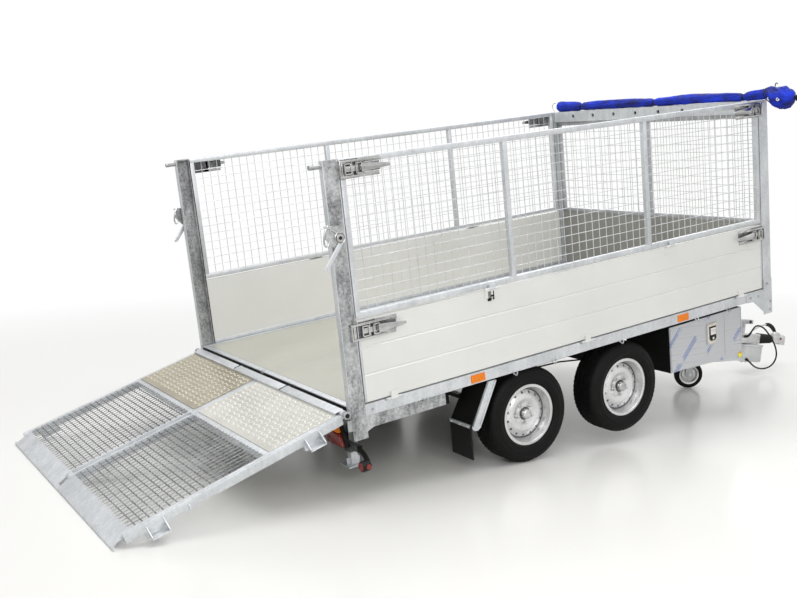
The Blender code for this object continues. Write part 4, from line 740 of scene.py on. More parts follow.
for label, side in sides:
    (x0, x1), (z0, z1), t = panel["x"], panel["z"], panel["tube"]
    yOut, yIn = side * half, side * (half - t)
    bm = bmesh.new()
    block(bm, (x0, yIn, z0), (x1, yOut, z0 + t), 0.0022)
    block(bm, (x0, yIn, z1 - t), (x1, yOut, z1), 0.0022)
    ends = [x0 + t / 2, *panel["uprights"], x1 - t / 2]
    for x in ends:
        block(bm, (x - t / 2 + 0.0002, yIn + side * 0.0004, z0 + t * 0.6), (x + t / 2 - 0.0002, yOut - side * 0.0004,
                                                                            z1 - t * 0.6), 0.0022)
    for x in panel["hinges"]:
        hingeLeaf(bm, side, x, panel["meshAxis"], 0.024)
    makePiece(f"mesh_frame_{label}", bm, "paleZinc", f"mesh_{label}", f"mesh_panel_{label}")
    bm = bmesh.new()
    for a0, a1 in zip(ends, ends[1:]):
        wireField(bm, a0 + t / 2, a1 - t / 2, z0 + t, z1 - t, side * (half - 0.014), "XZ", panel["pitch"],
                  panel["wire"])
    makePiece(f"mesh_wires_{label}", bm, "wire", f"mesh_{label}", f"mesh_panel_{label}")
    for end, x, ahead in (("rear", x0 + 0.002, 1), ("front", x1 - 0.002, -1)):
        bm, backing = bmesh.new(), bmesh.new()
        buckle(bm, backing, side, x, z1 - panel["latchDrop"], ahead, half)
        makePiece(f"mesh_latch_{end}_{label}", bm, "plated", f"mesh_{label}", f"mesh_panel_{label}")
        makePiece(f"mesh_latch_plate_{end}_{label}", backing, "latch", f"mesh_{label}", f"mesh_panel_{label}")
    for end, x, ahead in (("rear", x0 + 0.004, 1), ("front", x1 - 0.004, -1)):
        bm, backing = bmesh.new(), bmesh.new()
        buckle(bm, backing, side, x, panel["buckleHigh"], ahead, half, 0.046 if ahead > 0 else 0.012)
        makePiece(f"board_buckle_{end}_{label}", bm, "plated", f"side_{label}", f"board_latch_{end}_{label}")
        makePiece(f"board_buckle_plate_{end}_{label}", backing, "latch", f"side_{label}", f"board_latch_{end}_{label}")
    # board trim: end caps and a small dark catch
    bm = bmesh.new()
    for x in (x0 + 0.006, x1 - 0.006):
        block(bm, (x - 0.006, side * (half - 0.0295), 0.008), (x + 0.006, side * (half + 0.0009), 0.403), 0.0015)
    makePiece(f"board_end_caps_{label}", bm, "paleZinc", f"side_{label}")
    bm = bmesh.new()
    block(bm, (0.853, side * (half - 0.001), 0.346), (0.876, side * (half + 0.006), 0.398), 0.002)
    block(bm, (0.886, side * (half - 0.001), 0.350), (0.893, side * (half + 0.007), 0.396), 0.002)
    block(bm, (0.872, side * (half + 0.002), 0.366), (0.890, side * (half + 0.010), 0.376), 0.002)
    makePiece(f"board_catch_{label}", bm, "rubber", f"side_{label}")
print("mesh panels and latches fitted")


# front gate: mesh infill above the board, and bolts
bm = bmesh.new()
gate = {"half": 0.899, "z": (0.4053, 1.0537), "tube": 0.028}
gateY, wide = gate["half"], gate["tube"]
for z in gate["z"]:
    block(bm, (3.022, -gateY, z), (3.050, gateY, z + wide), 0.002)
for y0, y1 in ((-gateY, -gateY + wide), (-wide / 2, wide / 2), (gateY - wide, gateY)):
    block(bm, (3.0224, y0, 0.420), (3.0496, y1, 1.070), 0.002)
makePiece("front_mesh_frame", bm, "zinc", "bed", "front_mesh")
bm = bmesh.new()
for y0, y1 in ((-gateY + wide, -wide / 2), (wide / 2, gateY - wide)):
    wireField(bm, y0, y1, 0.4333, gate["z"][1], 3.036, "YZ", panel["pitch"], panel["wire"])
makePiece("front_mesh_wires", bm, "wire", "bed", "front_mesh")
bm = bmesh.new()
for _, side in sides:
    for x, z in ((3.030, 0.028), (3.060, -0.090), (2.945, -0.036), (2.875, -0.036), (3.055, -0.140)):
        hexBolt(bm, (x, side * (half + 0.004), z), (0, side, 0), 0.0065, 0.005)
makePiece("gate_bolts", bm, "zinc", "bed")


# rear posts: folded returns, corner-plate bolts, hinge pin ends and the ramp's over-centre lever
post = {
    "bolts": ((0.024, -0.082), (0.048, -0.134), (0.038, -0.036)), "pin": (-0.024, -0.030),
    "lock": (0.036, 0.806), "strap": [(0.050, 0.780), (0.022, 0.782), (-0.052, 0.690), (-0.066, 0.668),
                                      (-0.052, 0.664), (-0.036, 0.676), (0.030, 0.754)],
}
for label, side in sides:
    bm = bmesh.new()
    for x, z in post["bolts"]:
        hexBolt(bm, (x, side * (half + 0.0039), z), (0, side, 0), 0.0060, 0.0045)
    for x, z in ((0.120, -0.035), (0.170, -0.090), (0.300, -0.100), (0.470, -0.100)):
        hexBolt(bm, (x, side * (half + 0.0030), z) if z < -0.062 else (x, side * half, z), (0, side, 0), 0.0050, 0.004)
    pinX, pinZ = post["pin"]
    bar(bm, (pinX, side * 0.932, pinZ), (pinX, side * 0.9425, pinZ), 0.0180, 24, soft=0.0012)
    makePiece(f"corner_bolts_{label}", bm, "zinc", "bed")
    bm = bmesh.new()
    bar(bm, (pinX, side * 0.940, pinZ), (pinX, side * 0.9450, pinZ), 0.0115, 20, soft=0.0012)
    block(bm, (0.0782, side * (half - 0.036), 0.004), (0.0842, side * (half - 0.024), 1.150), 0.0010)
    makePiece(f"post_dark_seam_{label}", bm, "rubber", "bed")
    # pale folded edges of the channel, seen from behind, painted lighter than the post as the lit faces
    bm = bmesh.new()
    block(bm, (-0.0012, side * (half - 0.035), 0.0), (0.0030, side * (half + 0.0006), 1.1565), 0.0012)
    block(bm, (0.0752, side * (half - 0.0345), 0.0), (0.0790, side * (half + 0.0006), 1.1565), 0.0012)
    makePiece(f"post_lit_edges_{label}", bm, "paleZinc", "bed")
    bm = bmesh.new()
    tube(bm, around(28, lambda c, s: (-0.026 + 0.016 * c + 0.010 * s, side * (half + 0.017), 0.822 + 0.046 * s)),
         0.0042, 10, closed=True)
    lockX, lockZ = post["lock"]
    bar(bm, (lockX, side * (half + 0.012), lockZ), (lockX, side * (half + 0.026), lockZ), 0.0200, 28, soft=0.002)
    tube(bm, around(28, lambda c, s: (lockX + 0.0255 * c, side * (half + 0.020), lockZ + 0.0255 * s)), 0.0032, 8,
         closed=True)
    tube(bm, [(-0.040, side * (half + 0.019), 0.866), (-0.012, side * (half + 0.020), 0.858),
              (0.020, side * (half + 0.020), 0.832), (0.054, side * (half + 0.020), 0.830)], 0.0045, 10)
    makePiece(f"ramp_lock_loop_{label}", bm, "plated", "bed")
    bm = bmesh.new()
    bar(bm, (lockX, side * (half + 0.022), lockZ), (lockX, side * (half + 0.0285), lockZ), 0.0085, 18, soft=0.0015)
    makePiece(f"ramp_lock_boss_{label}", bm, "rubber", "bed")
    bm = bmesh.new()
    plate(bm, post["strap"], 0.0050, "XZ", side * (half + 0.0215), 0.0015)
    makePiece(f"ramp_lock_strap_{label}", bm, "paleZinc", "bed")
print("posts and locks fitted")


# ramp: drawn flat behind its hinge, along = distance from the hinge, then lowered
ramp = {"axis": (-0.024, 0, -0.030), "drop": 12.18, "half": 0.925, "side": 0.030, "top": 0.008, "under": -0.038,
        "treadEnd": 0.400, "pitchY": 0.0357, "pitchU": 0.0334, "barDeep": 0.009, "barWide": 0.0025, "wire": 0.0021,
        "brackets": (0.193, 0.990), "hook": 0.830, "grating": (0.430, 1.092), "cell": 0.030}
rampPlace = Matrix.Translation(ramp["axis"]) @ Matrix.Rotation(-math.radians(ramp["drop"]), 4, "Y")


def rampBlock(bm, u0, u1, y0, y1, h0, h1, soft=0.0015):
    block(bm, (-u1, y0, h0), (-u0, y1, h1), soft)


bm = bmesh.new()
top, under, edge = ramp["top"], ramp["under"], ramp["half"]
for _, side in sides:
    rampBlock(bm, 0.024, 1.130, side * edge, side * (edge - 0.013), under, top - 0.0030)
    rampBlock(bm, 0.024, 1.130, side * (edge - 0.0122), side * (edge - ramp["side"]), under, top)
    rampBlock(bm, 0.030, 1.120, side * (edge + 0.0004), side * (edge - 0.004), under + 0.006, under + 0.014, 0.001)
    # hinge blocks and their bosses
    for y in (0.9275, 0.300):
        near = y - 0.033
        bar(bm, (0, side * (near - 0.020), 0), (0, side * (near + 0.020), 0), 0.019, 24, soft=0.0015)
        rampBlock(bm, 0.004, 0.040, side * (near - 0.0195), side * (near + 0.0195), -0.017, 0.003)
rampBlock(bm, 0.022, 0.402, -0.030, 0.030, under + 0.001, top - 0.0030)
rampBlock(bm, 0.400, 1.120, -0.023, 0.023, under + 0.001, top - 0.0160)
rampBlock(bm, 0.402, 1.118, -0.030, -0.022, under + 0.01, top)
rampBlock(bm, 0.402, 1.118, 0.022, 0.030, under + 0.01, top)
for u0, u1, drop in ((0.020, 0.060, 0.0045), (0.215, 0.245, 0.0048), (0.390, 0.430, 0.0045)):
    rampBlock(bm, u0, u1, -edge + 0.004, edge - 0.004, under + 0.002, top - drop)
# tip plate with a slot in the middle and open notches for the post pegs
notches = ((-0.9235, -0.898, 1.178), (-0.020, 0.020, 1.168), (0.898, 0.9235, 1.178))
full = [(-1.090, top - 0.001), (-1.090, top - 0.013), (-1.190, under + 0.002), (-1.190, under + 0.008),
        (-1.183, under + 0.0135)]
for y0, y1 in ((-0.898, -0.020), (0.020, 0.898)):
    plate(bm, full, y1 - y0, "XZ", (y0 + y1) / 2, 0.0008)
for y0, y1, lip in notches:
    lipTop, lipUnder = 0.007 - 0.339 * (lip - 1.090), -0.005 - 0.31 * (lip - 1.090)
    for strip in ([(-1.090, 0.0070), (-1.090, -0.005), (-1.112, -0.0118), (-1.112, -0.0006)],
                  [(-lip, lipTop), (-lip, lipUnder), (-1.190, -0.036), (-1.190, -0.030), (-1.183, -0.0245)]):
        plate(bm, strip, y1 - y0 + 0.002, "XZ", (y0 + y1) / 2)
# folded cover strips over the hinge line
for y0, y1 in ((-0.893, -0.308), (-0.292, 0.292), (0.308, 0.893)):
    rampBlock(bm, -0.012, 0.036, y0, y1, 0.0168, 0.0190, 0.0006)
    rampBlock(bm, 0.0335, 0.0360, y0, y1, 0.0040, 0.0180, 0.0006)
makePiece("ramp_frame_channels", bm, "paleZinc", "ramp", "ramp_frame", place=rampPlace)

# open grating: light round wires up the slope over flat cross bars on edge; the bars take the dark latch finish as
# painted shade
for finish, name in (("grating", "ramp_grating_wires"), ("latch", "ramp_grating_bars")):
    bm = bmesh.new()
    for y0, y1 in ((-edge + ramp["side"], -0.030), (0.030, edge - ramp["side"])):
        if finish == "grating":
            count = round((y1 - y0) / ramp["pitchY"])
            for k in range(1, count):
                y = y0 + (y1 - y0) * k / count
                tube(bm, [(-0.426, y, top - 0.0035), (-1.096, y, top - 0.0035)], ramp["wire"], 6)
        else:
            u0, u1 = ramp["grating"]
            count = round((u1 - u0) / ramp["pitchU"])
            for k in range(1, count):
                u = u0 + (u1 - u0) * k / count
                rampBlock(bm, u - ramp["barWide"] / 2, u + ramp["barWide"] / 2, y0 - 0.002, y1 + 0.002,
                          top - 0.0050 - ramp["barDeep"], top - 0.0050, 0)
    makePiece(name, bm, finish, "ramp", "ramp_frame", place=rampPlace)

bm = bmesh.new()
for _, side in sides:
    for u in ramp["brackets"]:
        for end in (-0.040, 0.040):
            earPlate = [(side * (edge - 0.002), -0.006), (side * (edge - 0.002), under - 0.012),
                        (side * (edge + 0.040), under - 0.026), (side * (edge + 0.046), under - 0.012),
                        (side * (edge + 0.010), -0.008)]
            plate(bm, earPlate, 0.005, "YZ", -(u + end), 0.001)
        rampBlock(bm, u - 0.040, u + 0.040, side * (edge + 0.002), side * (edge + 0.043), under - 0.026, under - 0.021,
                  0.001)
        rampBlock(bm, u - 0.050, u + 0.050, side * (edge - 0.034), side * (edge - 0.004), under - 0.030, under + 0.004)
    hookU = ramp["hook"]
    tube(bm, [(-hookU, side * (edge - 0.002), -0.012), (-hookU, side * (edge + 0.008), -0.014),
              (-hookU, side * (edge + 0.0115), -0.022), (-hookU - 0.004, side * (edge + 0.012), -0.040)], 0.0045, 10)
makePiece("ramp_brackets", bm, "paleZinc", "ramp", "ramp_frame", place=rampPlace)


# raised bars of the tread plates, each square to the next; lighter than the plates as painted highlight
def treadBars(bm, y0, y1):
    cell = ramp["cell"]
    rows = int((ramp["treadEnd"] - 0.042) / cell)
    columns = round((y1 - y0) / cell)
    for i in range(rows):
        for j in range(columns):
            lean = math.radians(45 if (i + j) % 2 else -45)
            cu, cy = 0.044 + (i + 0.5) * cell, y0 + (j + 0.5) * (y1 - y0) / columns
            low, high = [], []
            for a, b in around(10, lambda c, s: (0.0138 * c, 0.0042 * s)):
                pu, py = a * math.cos(lean) - b * math.sin(lean), a * math.sin(lean) + b * math.cos(lean)
                low.append(bm.verts.new((-(cu + pu), cy + py, top - 0.0001)))
                high.append(bm.verts.new((-(cu + pu * 0.66), cy + py * 0.66, top + 0.0022)))
            for k in range(10):
                bm.faces.new((low[k], low[(k + 1) % 10], high[(k + 1) % 10], high[k]))
            bm.faces.new(high)


for label, side in sides:
    bm = bmesh.new()
    ys = sorted((side * 0.034, side * (edge - ramp["side"] - 0.003)))
    treadBars(bm, *ys)
    makePiece(f"tread_bars_{label}", bm, "paleBarHighlit" if side < 0 else "goldBarHighlit", "ramp", sharp=60, place=rampPlace)
print("ramp laid")


# bed: sill lines, floor edge angles, tie hooks and orange side markers
bm = bmesh.new()
block(bm, (0.0004, -0.8985, -0.0050), (0.0340, 0.8985, 0.0022), 0.001)
for _, side in sides:
    block(bm, (0.034, side * 0.8915, 0.0004), (3.012, side * 0.8700, 0.0030), 0.001)
    block(bm, (0.084, side * 0.9045, 0.0004), (3.000, side * 0.9015, 0.0240), 0.001)
block(bm, (2.990, -0.890, 0.0004), (3.0176, 0.890, 0.0034), 0.001)
makePiece("floor_edge_angles", bm, "paleZinc", "bed")
# painted shade: thin dark strips stand in for the shade in the gap on the sill's rear face, in the joint between sill
# and floor, and on the front beam's rear face under the tarpaulin roll
bm = bmesh.new()
block(bm, (-0.0010, -0.8980, -0.0540), (0.0008, 0.8980, -0.0040))
block(bm, (0.0342, -0.8900, 0.0002), (0.0366, 0.8900, 0.0012))
block(bm, (3.0200, -0.8600, 1.1000), (3.0240, 0.8600, 1.1450))
makePiece("bed_painted_shade_gaps", bm, "rubber", "bed")
bm = bmesh.new()
block(bm, (-0.002, 0.018, -0.012), (0.020, 0.052, 0.004), 0.002)
bar(bm, (-0.003, 0.035, -0.004), (0.012, 0.035, -0.004), 0.006, 12, soft=0.001)
for _, side in sides:
    for x in (0.420, 0.990, 1.260, 1.760, 2.380, 2.660):
        tube(bm, [(x - 0.012, side * 0.932, -0.056), (x - 0.012, side * 0.944, -0.066), (x, side * 0.948, -0.076),
                  (x + 0.012, side * 0.944, -0.066), (x + 0.012, side * 0.932, -0.056)], 0.0035, 8)
    for x in panel["boardHinges"]:
        block(bm, (x - 0.052, side * 0.9340, -0.014), (x + 0.052, side * 0.9365, -0.0025), 0.0008)
makePiece("tie_hooks_and_catch", bm, "darkZinc", "bed")
bm = bmesh.new()
for _, side in sides:
    for x in (0.751, 2.269):
        block(bm, (x - 0.044, side * 0.9345, -0.054), (x + 0.044, side * 0.9410, -0.013), 0.003)
makePiece("side_markers", bm, "amber", "bed")


# rear lamps: a slanted housing with a red field and an amber corner, and a marker lamp beside it
lamp = {
    "housing": ("rubber", 0.050, 0.003, ((0.590, -0.194), (0.727, -0.130), (0.778, -0.246), (0.768, -0.256),
                                         (0.592, -0.256))),
    "red": ("red", 0.0330, 0.004, ((0.598, -0.200), (0.634, -0.183), (0.7380, -0.183), (0.764, -0.242),
                                   (0.757, -0.250), (0.599, -0.250))),
    "amber": ("amber", 0.0330, 0.004, ((0.642, -0.180), (0.722, -0.141), (0.7365, -0.180))),
}
for label, side in sides:
    for field, (finish, x, soft, outline) in lamp.items():
        bm = bmesh.new()
        plate(bm, [(side * y, z) for y, z in outline], 0.020, "YZ", x, soft)
        makePiece(f"lamp_{field}_{label}", bm, finish, "chassis", f"rear_lamp_{label}")
    # marker lamp on its rubber arm
    bm = bmesh.new()
    arm = [(0.072, 0.850, -0.246), (0.070, 0.872, -0.252), (0.067, 0.905, -0.264), (0.058, 0.938, -0.276),
           (0.040, 0.960, -0.283)]
    tube(bm, [(x, side * y, z) for x, y, z in arm], 0.0125, 16, (1.1, 1.0, 0.95, 1.0, 1.1))
    lathe(bm, [(0, 0.050), (0.020, 0.050), (0.0260, 0.044), (0.0265, 0.006), (0.0245, 0.001), (0.0225, 0.001),
               (0.0225, 0.004), (0, 0.004)], 32, (0.000, side * 0.972, -0.284), (1, 0, 0))
    block(bm, (0.061, side * 0.8403, -0.262), (0.088, side * 0.852, -0.232), 0.003)
    makePiece(f"marker_arm_{label}", bm, "rubber", "chassis", f"marker_lamp_{label}")
    bm = bmesh.new()
    lathe(bm, [(0.0220, 0.002), (0.0215, -0.0015), (0.0150, -0.0036), (0, -0.0042)], 28, (0.000, side * 0.972, -0.284),
          (1, 0, 0))
    lathe(bm, [(0.0140, 0.0), (0.0130, 0.0042), (0.006, 0.0060), (0, 0.0064)], 24, (0.030, side * 0.9965, -0.284),
          (0, side, 0))
    makePiece(f"marker_lens_{label}", bm, "red", "chassis", f"marker_lamp_{label}")
print("lamps fitted")


# mudguards: the bright folded edge over the black sheet, its brace and bolts; the sheet's black is painted shade
for label, side in sides:
    bm = bmesh.new()
    strip = [(0.880, -0.078), (0.768, -0.292), (0.762, -0.308), (0.746, -0.320), (0.728, -0.321), (0.712, -0.312),
             (0.706, -0.298), (0.712, -0.284), (0.828, -0.078)]
    plate(bm, strip, 0.0040, "XZ", side * 0.9075, 0.0012)
    for shift in (0.0, 0.046):
        rib = [(0.836 + shift, -0.080), (0.716 + shift, -0.294), (0.709 + shift, -0.290), (0.828 + shift, -0.080)]
        plate(bm, rib, 0.0110, "XZ", side * 0.9120, 0.0015)
    block(bm, (0.776, side * 0.482, -0.196), (0.800, side * 0.705, -0.172), 0.002)
    block(bm, (0.7035, side * 0.712, -0.306), (0.7145, side * 0.893, -0.288), 0.002)
    for y in (0.730, 0.800, 0.872):
        hexBolt(bm, (0.7040, side * y, -0.298), (-1, 0, 0), 0.0050, 0.004)
    makePiece(f"guard_edge_{label}", bm, "paleZinc", "chassis")
print("mudguards edged")


# tool box: folded seams, a paddle latch in a pale plate, corner rivets and a yellow disc
bm = bmesh.new()
for x in (2.224, 2.700, 2.852):
    block(bm, (x - 0.0016, -0.8752, -0.370), (x + 0.0016, -0.8772, -0.102), 0.0006)
makePiece("box_door_seams", bm, "box", "tool_box_door")
bm = bmesh.new()
shield = [(2.536, -0.150), (2.546, -0.142), (2.614, -0.142), (2.624, -0.150), (2.624, -0.244), (2.612, -0.262),
          (2.592, -0.270), (2.568, -0.270), (2.548, -0.262), (2.536, -0.244)]
plate(bm, shield, 0.004, "XZ", -0.8836, 0.0012)
makePiece("box_latch_plate", bm, "cream", "tool_box_door")
bm = bmesh.new()
plate(bm, [(2.549, -0.160), (2.611, -0.160), (2.611, -0.236), (2.600, -0.250), (2.560, -0.250), (2.549, -0.236)], 0.003,
      "XZ", -0.8858, 0.0008)
makePiece("box_latch_well", bm, "black", "tool_box_door")
bm = bmesh.new()
plate(bm, [(2.556, -0.168), (2.604, -0.168), (2.604, -0.212), (2.556, -0.212)], 0.006, "XZ", -0.8890, 0.0020)
bar(bm, (2.580, -0.886, -0.234), (2.580, -0.8905, -0.234), 0.0085, 20, soft=0.001)
makePiece("box_latch_paddle", bm, "chrome", "tool_box_door")
bm = bmesh.new()
for x in (2.2300, 2.8450):
    for z in (-0.355, -0.236, -0.120):
        bar(bm, (x, -0.8745, z), (x, -0.8775, z), 0.0042, 12, 0.0030, 0.0006)
makePiece("box_rivets", bm, "chrome", "tool_box_door")
bm = bmesh.new()
plate(bm, [(2.300, -0.3755), (2.858, -0.3755), (2.858, -0.4080)], 0.0030, "XZ", -0.8725)
makePiece("box_lower_edge", bm, "box", "chassis")
bm = bmesh.new()
plate(bm, [(2.610, -0.385), (2.858, -0.395), (2.858, -0.4440), (2.610, -0.3990)], 0.0030, "XZ", -0.8665)
makePiece("box_skirt", bm, "paleZinc", "chassis")
bm = bmesh.new()
bar(bm, (2.838, -0.8745, -0.401), (2.838, -0.8775, -0.401), 0.0180, 28, soft=0.001)
makePiece("box_yellow_disc", bm, "yellow", "chassis")
bm = bmesh.new()
plate(bm, [(2.827, -0.384), (2.849, -0.384), (2.845, -0.391), (2.831, -0.391)], 0.0024, "XZ", -0.8785)
makePiece("box_disc_mark", bm, "amber", "chassis")
print("tool box dressed")


# jockey wheel: rubber tyre on a pressed disc, hub, and the winding handle's grip
jockey = {
    "x": 3.235, "y": -0.150, "turn": -33.0, "trail": 0.045, "centre": -0.7555,
    # halves of the turned sections, down to the middle plane
    "tyre": [(0.066, 0.0200), (0.070, 0.0260), (0.080, 0.0295), (0.090, 0.0280), (0.0965, 0.0220), (0.0995, 0.0120),
             (0.1000, 0.0)],
    "disc": [(0.0095, 0.0290), (0.0180, 0.0290), (0.0200, 0.0230), (0.0300, 0.0120), (0.0480, 0.0100),
             (0.0560, 0.0180), (0.0600, 0.0240), (0.0690, 0.0262), (0.0700, 0.0240), (0.0670, 0.0190)],
}
turn = math.radians(jockey["turn"])
rollWay = Vector((math.cos(turn), math.sin(turn), 0))
hubWay = Vector((-rollWay.y, rollWay.x, 0))
hub = Vector((jockey["x"], jockey["y"], jockey["centre"])) - rollWay * jockey["trail"]
bm = bmesh.new()
lathe(bm, mirrored(jockey["tyre"]) + jockey["tyre"][:1], 64, hub, hubWay)
makePiece("jockey_tyre", bm, "tyre", "jockey_wheel", "jockey_wheel", sharp=50)
bm = bmesh.new()
lathe(bm, mirrored(jockey["disc"]) + jockey["disc"][:1], 64, hub, hubWay)
makePiece("jockey_disc", bm, "rim", "jockey_wheel", "jockey_wheel", sharp=40)
bm = bmesh.new()
for way in (-1, 1):
    spot = hub + hubWay * way * 0.0425
    hexBolt(bm, spot, hubWay * way, 0.010, 0.007)
makePiece("jockey_axle_nuts", bm, "cast", "jockey_fork")
bm = bmesh.new()
lathe(bm, [(0, 0.044), (0.0120, 0.046), (0.0150, 0.058), (0.0135, 0.085), (0.0150, 0.112), (0.0110, 0.119),
           (0, 0.120)], 24, (jockey["x"], -0.268, 0.0), (0, 0, 1))
makePiece("jockey_crank_grip", bm, "rubber", "chassis")
print("jockey wheel turned")


# coupling head: ribbed gaiter, housing, clamp handle, brake grip, ball cup and handle, case lid
bm = bmesh.new()
ribs = []
for k in range(9):
    a = 0.2460 + k * 0.0184
    wide = 0.0415 - 0.0075 * k / 8
    ribs += [(wide * 0.80, a), (wide, a + 0.0060), (wide, a + 0.0100), (wide * 0.80, a + 0.0160)]
lathe(bm, [(0.0215, 0.2455)] + ribs + [(0.0225, 0.4112), (0.0206, 0.4112), (0.0206, 0.2455), (0.0215, 0.2455)], 40,
      (0, 0, 0), (1, 0, 0))
makePiece("gaiter_bellows", bm, "rubber", "coupling_head", "coupling_gaiter", sharp=60, place=headPlace)
bm = bmesh.new()
block(bm, (0.056, -0.0362, -0.0362), (0.246, 0.0362, 0.0362), 0.006)
for _, side in sides:
    block(bm, (-0.040, side * 0.0335, -0.034), (0.078, side * 0.0457, 0.034), 0.003)
    for x, z in ((0.088, 0.020), (0.088, -0.020), (0.222, 0.020), (0.222, -0.020)):
        hexBolt(bm, (x, side * 0.036, z), (0, side, 0), 0.0065, 0.005)
    hexBolt(bm, (0.0, side * 0.046, 0.0), (0, side, 0), 0.0150, 0.012)
bar(bm, (0.2300, 0, 0), (0.4300, 0, 0), 0.020, 28)
block(bm, (0.412, -0.034, -0.028), (0.512, 0.034, 0.031), 0.009)
bar(bm, (0.535, 0, -0.041), (0.535, 0, 0.030), 0.0405, 36, soft=0.006)
bar(bm, (0.535, 0, 0.024), (0.535, 0, 0.036), 0.0300, 32, soft=0.006)
block(bm, (0.430, -0.018, 0.026), (0.520, 0.018, 0.046), 0.006)
plate(bm, [(0.440, 0.040), (0.500, 0.042), (0.512, 0.052), (0.452, 0.058)], 0.026, "XZ", 0.0, 0.004)
# clamp with its tee handle on the housing
block(bm, (0.059, -0.011, 0.030), (0.085, 0.011, 0.126), 0.003)
makePiece("coupling_casting", bm, "cast", "coupling_head", "coupling_unit", place=headPlace)
bm = bmesh.new()
block(bm, (-0.002, -0.020, 0.110), (0.162, 0.020, 0.143), 0.006)
block(bm, (0.010, -0.0225, 0.116), (0.150, -0.017, 0.137), 0.004)
makePiece("drawbar_clamp_bar", bm, "zinc", "coupling_head", place=headPlace)
bm = bmesh.new()
bar(bm, (0.120, -0.020, 0.128), (0.120, -0.0275, 0.128), 0.0115, 20, soft=0.001)
makePiece("drawbar_clamp_plug", bm, "rubber", "coupling_head", place=headPlace)
bm = bmesh.new()
bar(bm, (0.500, -0.033, 0.008), (0.500, -0.0395, 0.008), 0.0085, 20, soft=0.001)
makePiece("coupling_red_button", bm, "red", "coupling_head", place=headPlace)
bm = bmesh.new()
lever = [(0.215, 0.046, 0.0), (0.222, 0.046, 0.030), (0.235, 0.046, 0.050), (0.280, 0.046, 0.073),
         (0.330, 0.046, 0.092), (0.380, 0.046, 0.103), (0.425, 0.046, 0.108)]
tube(bm, lever, 0.0072, 12)
bar(bm, (0.215, 0.0363, 0.0), (0.215, 0.056, 0.0), 0.022, 28, soft=0.002)
makePiece("brake_lever_rod", bm, "cast", "coupling_head", "brake_lever", sharp=50, place=headPlace)
bm = bmesh.new()
grip = [(0.405, 0.046, 0.1065), (0.430, 0.046, 0.108), (0.458, 0.0465, 0.101), (0.486, 0.047, 0.088),
        (0.510, 0.0485, 0.071), (0.532, 0.050, 0.050)]
tube(bm, grip, 0.0145, 18, (0.8, 1.0, 1.1, 1.12, 1.05, 0.8))
makePiece("brake_lever_grip", bm, "rubber", "coupling_head", "brake_lever", sharp=60, place=headPlace)
bm = bmesh.new()
block(bm, (0.038, -0.060, -0.178), (0.256, 0.060, -0.058), 0.008)
block(bm, (0.034, -0.065, -0.0595), (0.260, 0.065, -0.0445), 0.005)
block(bm, (0.100, -0.020, -0.048), (0.180, 0.020, -0.0363), 0.002)
for x in (0.052, 0.242):
    block(bm, (x - 0.006, -0.0632, -0.168), (x + 0.006, -0.058, -0.066), 0.002)
for x in (0.062, 0.108, 0.152, 0.232):
    bar(bm, (x, -0.030, -0.177), (x, -0.030, -0.184), 0.0070, 14, soft=0.001)
makePiece("case_moulding", bm, "grey", "coupling_head", "drawbar_case", place=headPlace)
print("coupling head dressed")


# rolled tarpaulin: a loose roll cinched by its ties, its gathered end hanging past the right post
tarp = {
    # y, radius, lift, ahead
    "run": ((0.900, 0.030, 0.000, 0.000), (0.860, 0.041, 0.000, 0.000), (0.740, 0.037, 0.000, 0.002),
            (0.620, 0.030, 0.001, 0.004), (0.450, 0.034, 0.000, 0.005), (0.150, 0.033, 0.000, 0.005),
            (-0.070, 0.028, 0.001, 0.004), (-0.350, 0.034, 0.000, 0.006), (-0.650, 0.030, 0.001, 0.008),
            (-0.790, 0.026, 0.001, 0.010), (-0.880, 0.032, 0.002, 0.018), (-0.942, 0.034, 0.003, 0.030),
            (-0.964, 0.050, -0.016, 0.034), (-1.005, 0.068, -0.054, 0.036), (-1.060, 0.073, -0.064, 0.036),
            (-1.110, 0.058, -0.052, 0.034), (-1.138, 0.036, -0.036, 0.030)),
    "x": 3.040, "rest": 1.1573, "seat": 0.95,  # middle of the beam, its top, and how far the roll stands on it
    "ties": (0.635, -0.070, -0.790), "steps": 60, "rings": 330, "eyelets": ((-0.985, 0.30), (-1.060, 0.05)),
}


def tarpAt(y):
    run = tarp["run"]
    y = max(min(y, run[0][0]), run[-1][0])
    for (y0, *a), (y1, *b) in zip(run, run[1:]):
        if y1 <= y <= y0:
            t = (y0 - y) / (y0 - y1)
            t = t * t * (3 - 2 * t)
            return [p + (q - p) * t for p, q in zip(a, b)]


def tarpSkin(y, turn):
    # folds run along the roll, crowd towards each tie and break up crosswise in the gathered end
    radius, lift, ahead = tarpAt(y)
    tied = sum(math.exp(-((y - tie) / 0.017) ** 2) for tie in tarp["ties"])
    near = sum(math.exp(-((y - tie) / 0.075) ** 2) for tie in tarp["ties"])
    heap = min(1.0, max(0.0, (-0.93 - y) / 0.05))
    fold = 0.030 * math.sin(3 * turn + 7 * y) + 0.022 * math.sin(5 * turn - 11 * y + 1.3)
    fold += (0.020 + 0.045 * near) * math.sin(11 * turn + 9 * y + 2 * math.sin(23 * y))
    fold += 0.014 * math.sin(14 * turn - 57 * y) + 0.020 * abs(math.sin(7 * turn + 13 * y)) * near
    crease = 1 - abs(math.sin(4 * turn + 60 * y + 1.5 * math.sin(3 * turn)))
    fold += heap * (0.085 * crease ** 2 - 0.06 + 0.05 * math.sin(2 * turn + 85 * y))
    lap = 0.060 * max(0.0, 1 - abs((turn - 2.6 - 0.9 * y) % (2 * math.pi) - 0.30) / 0.34)
    reach = radius * (0.925 + fold + lap) * (1 - 0.30 * tied)
    return Vector((tarp["x"] + ahead + reach * math.cos(turn), y,
                   tarp["rest"] + tarp["seat"] * radius + lift - 0.10 * radius * tied + reach * math.sin(turn)))


def tarpRing(y, count):
    return [tarpSkin(y, 2 * math.pi * k / count) for k in range(count)]


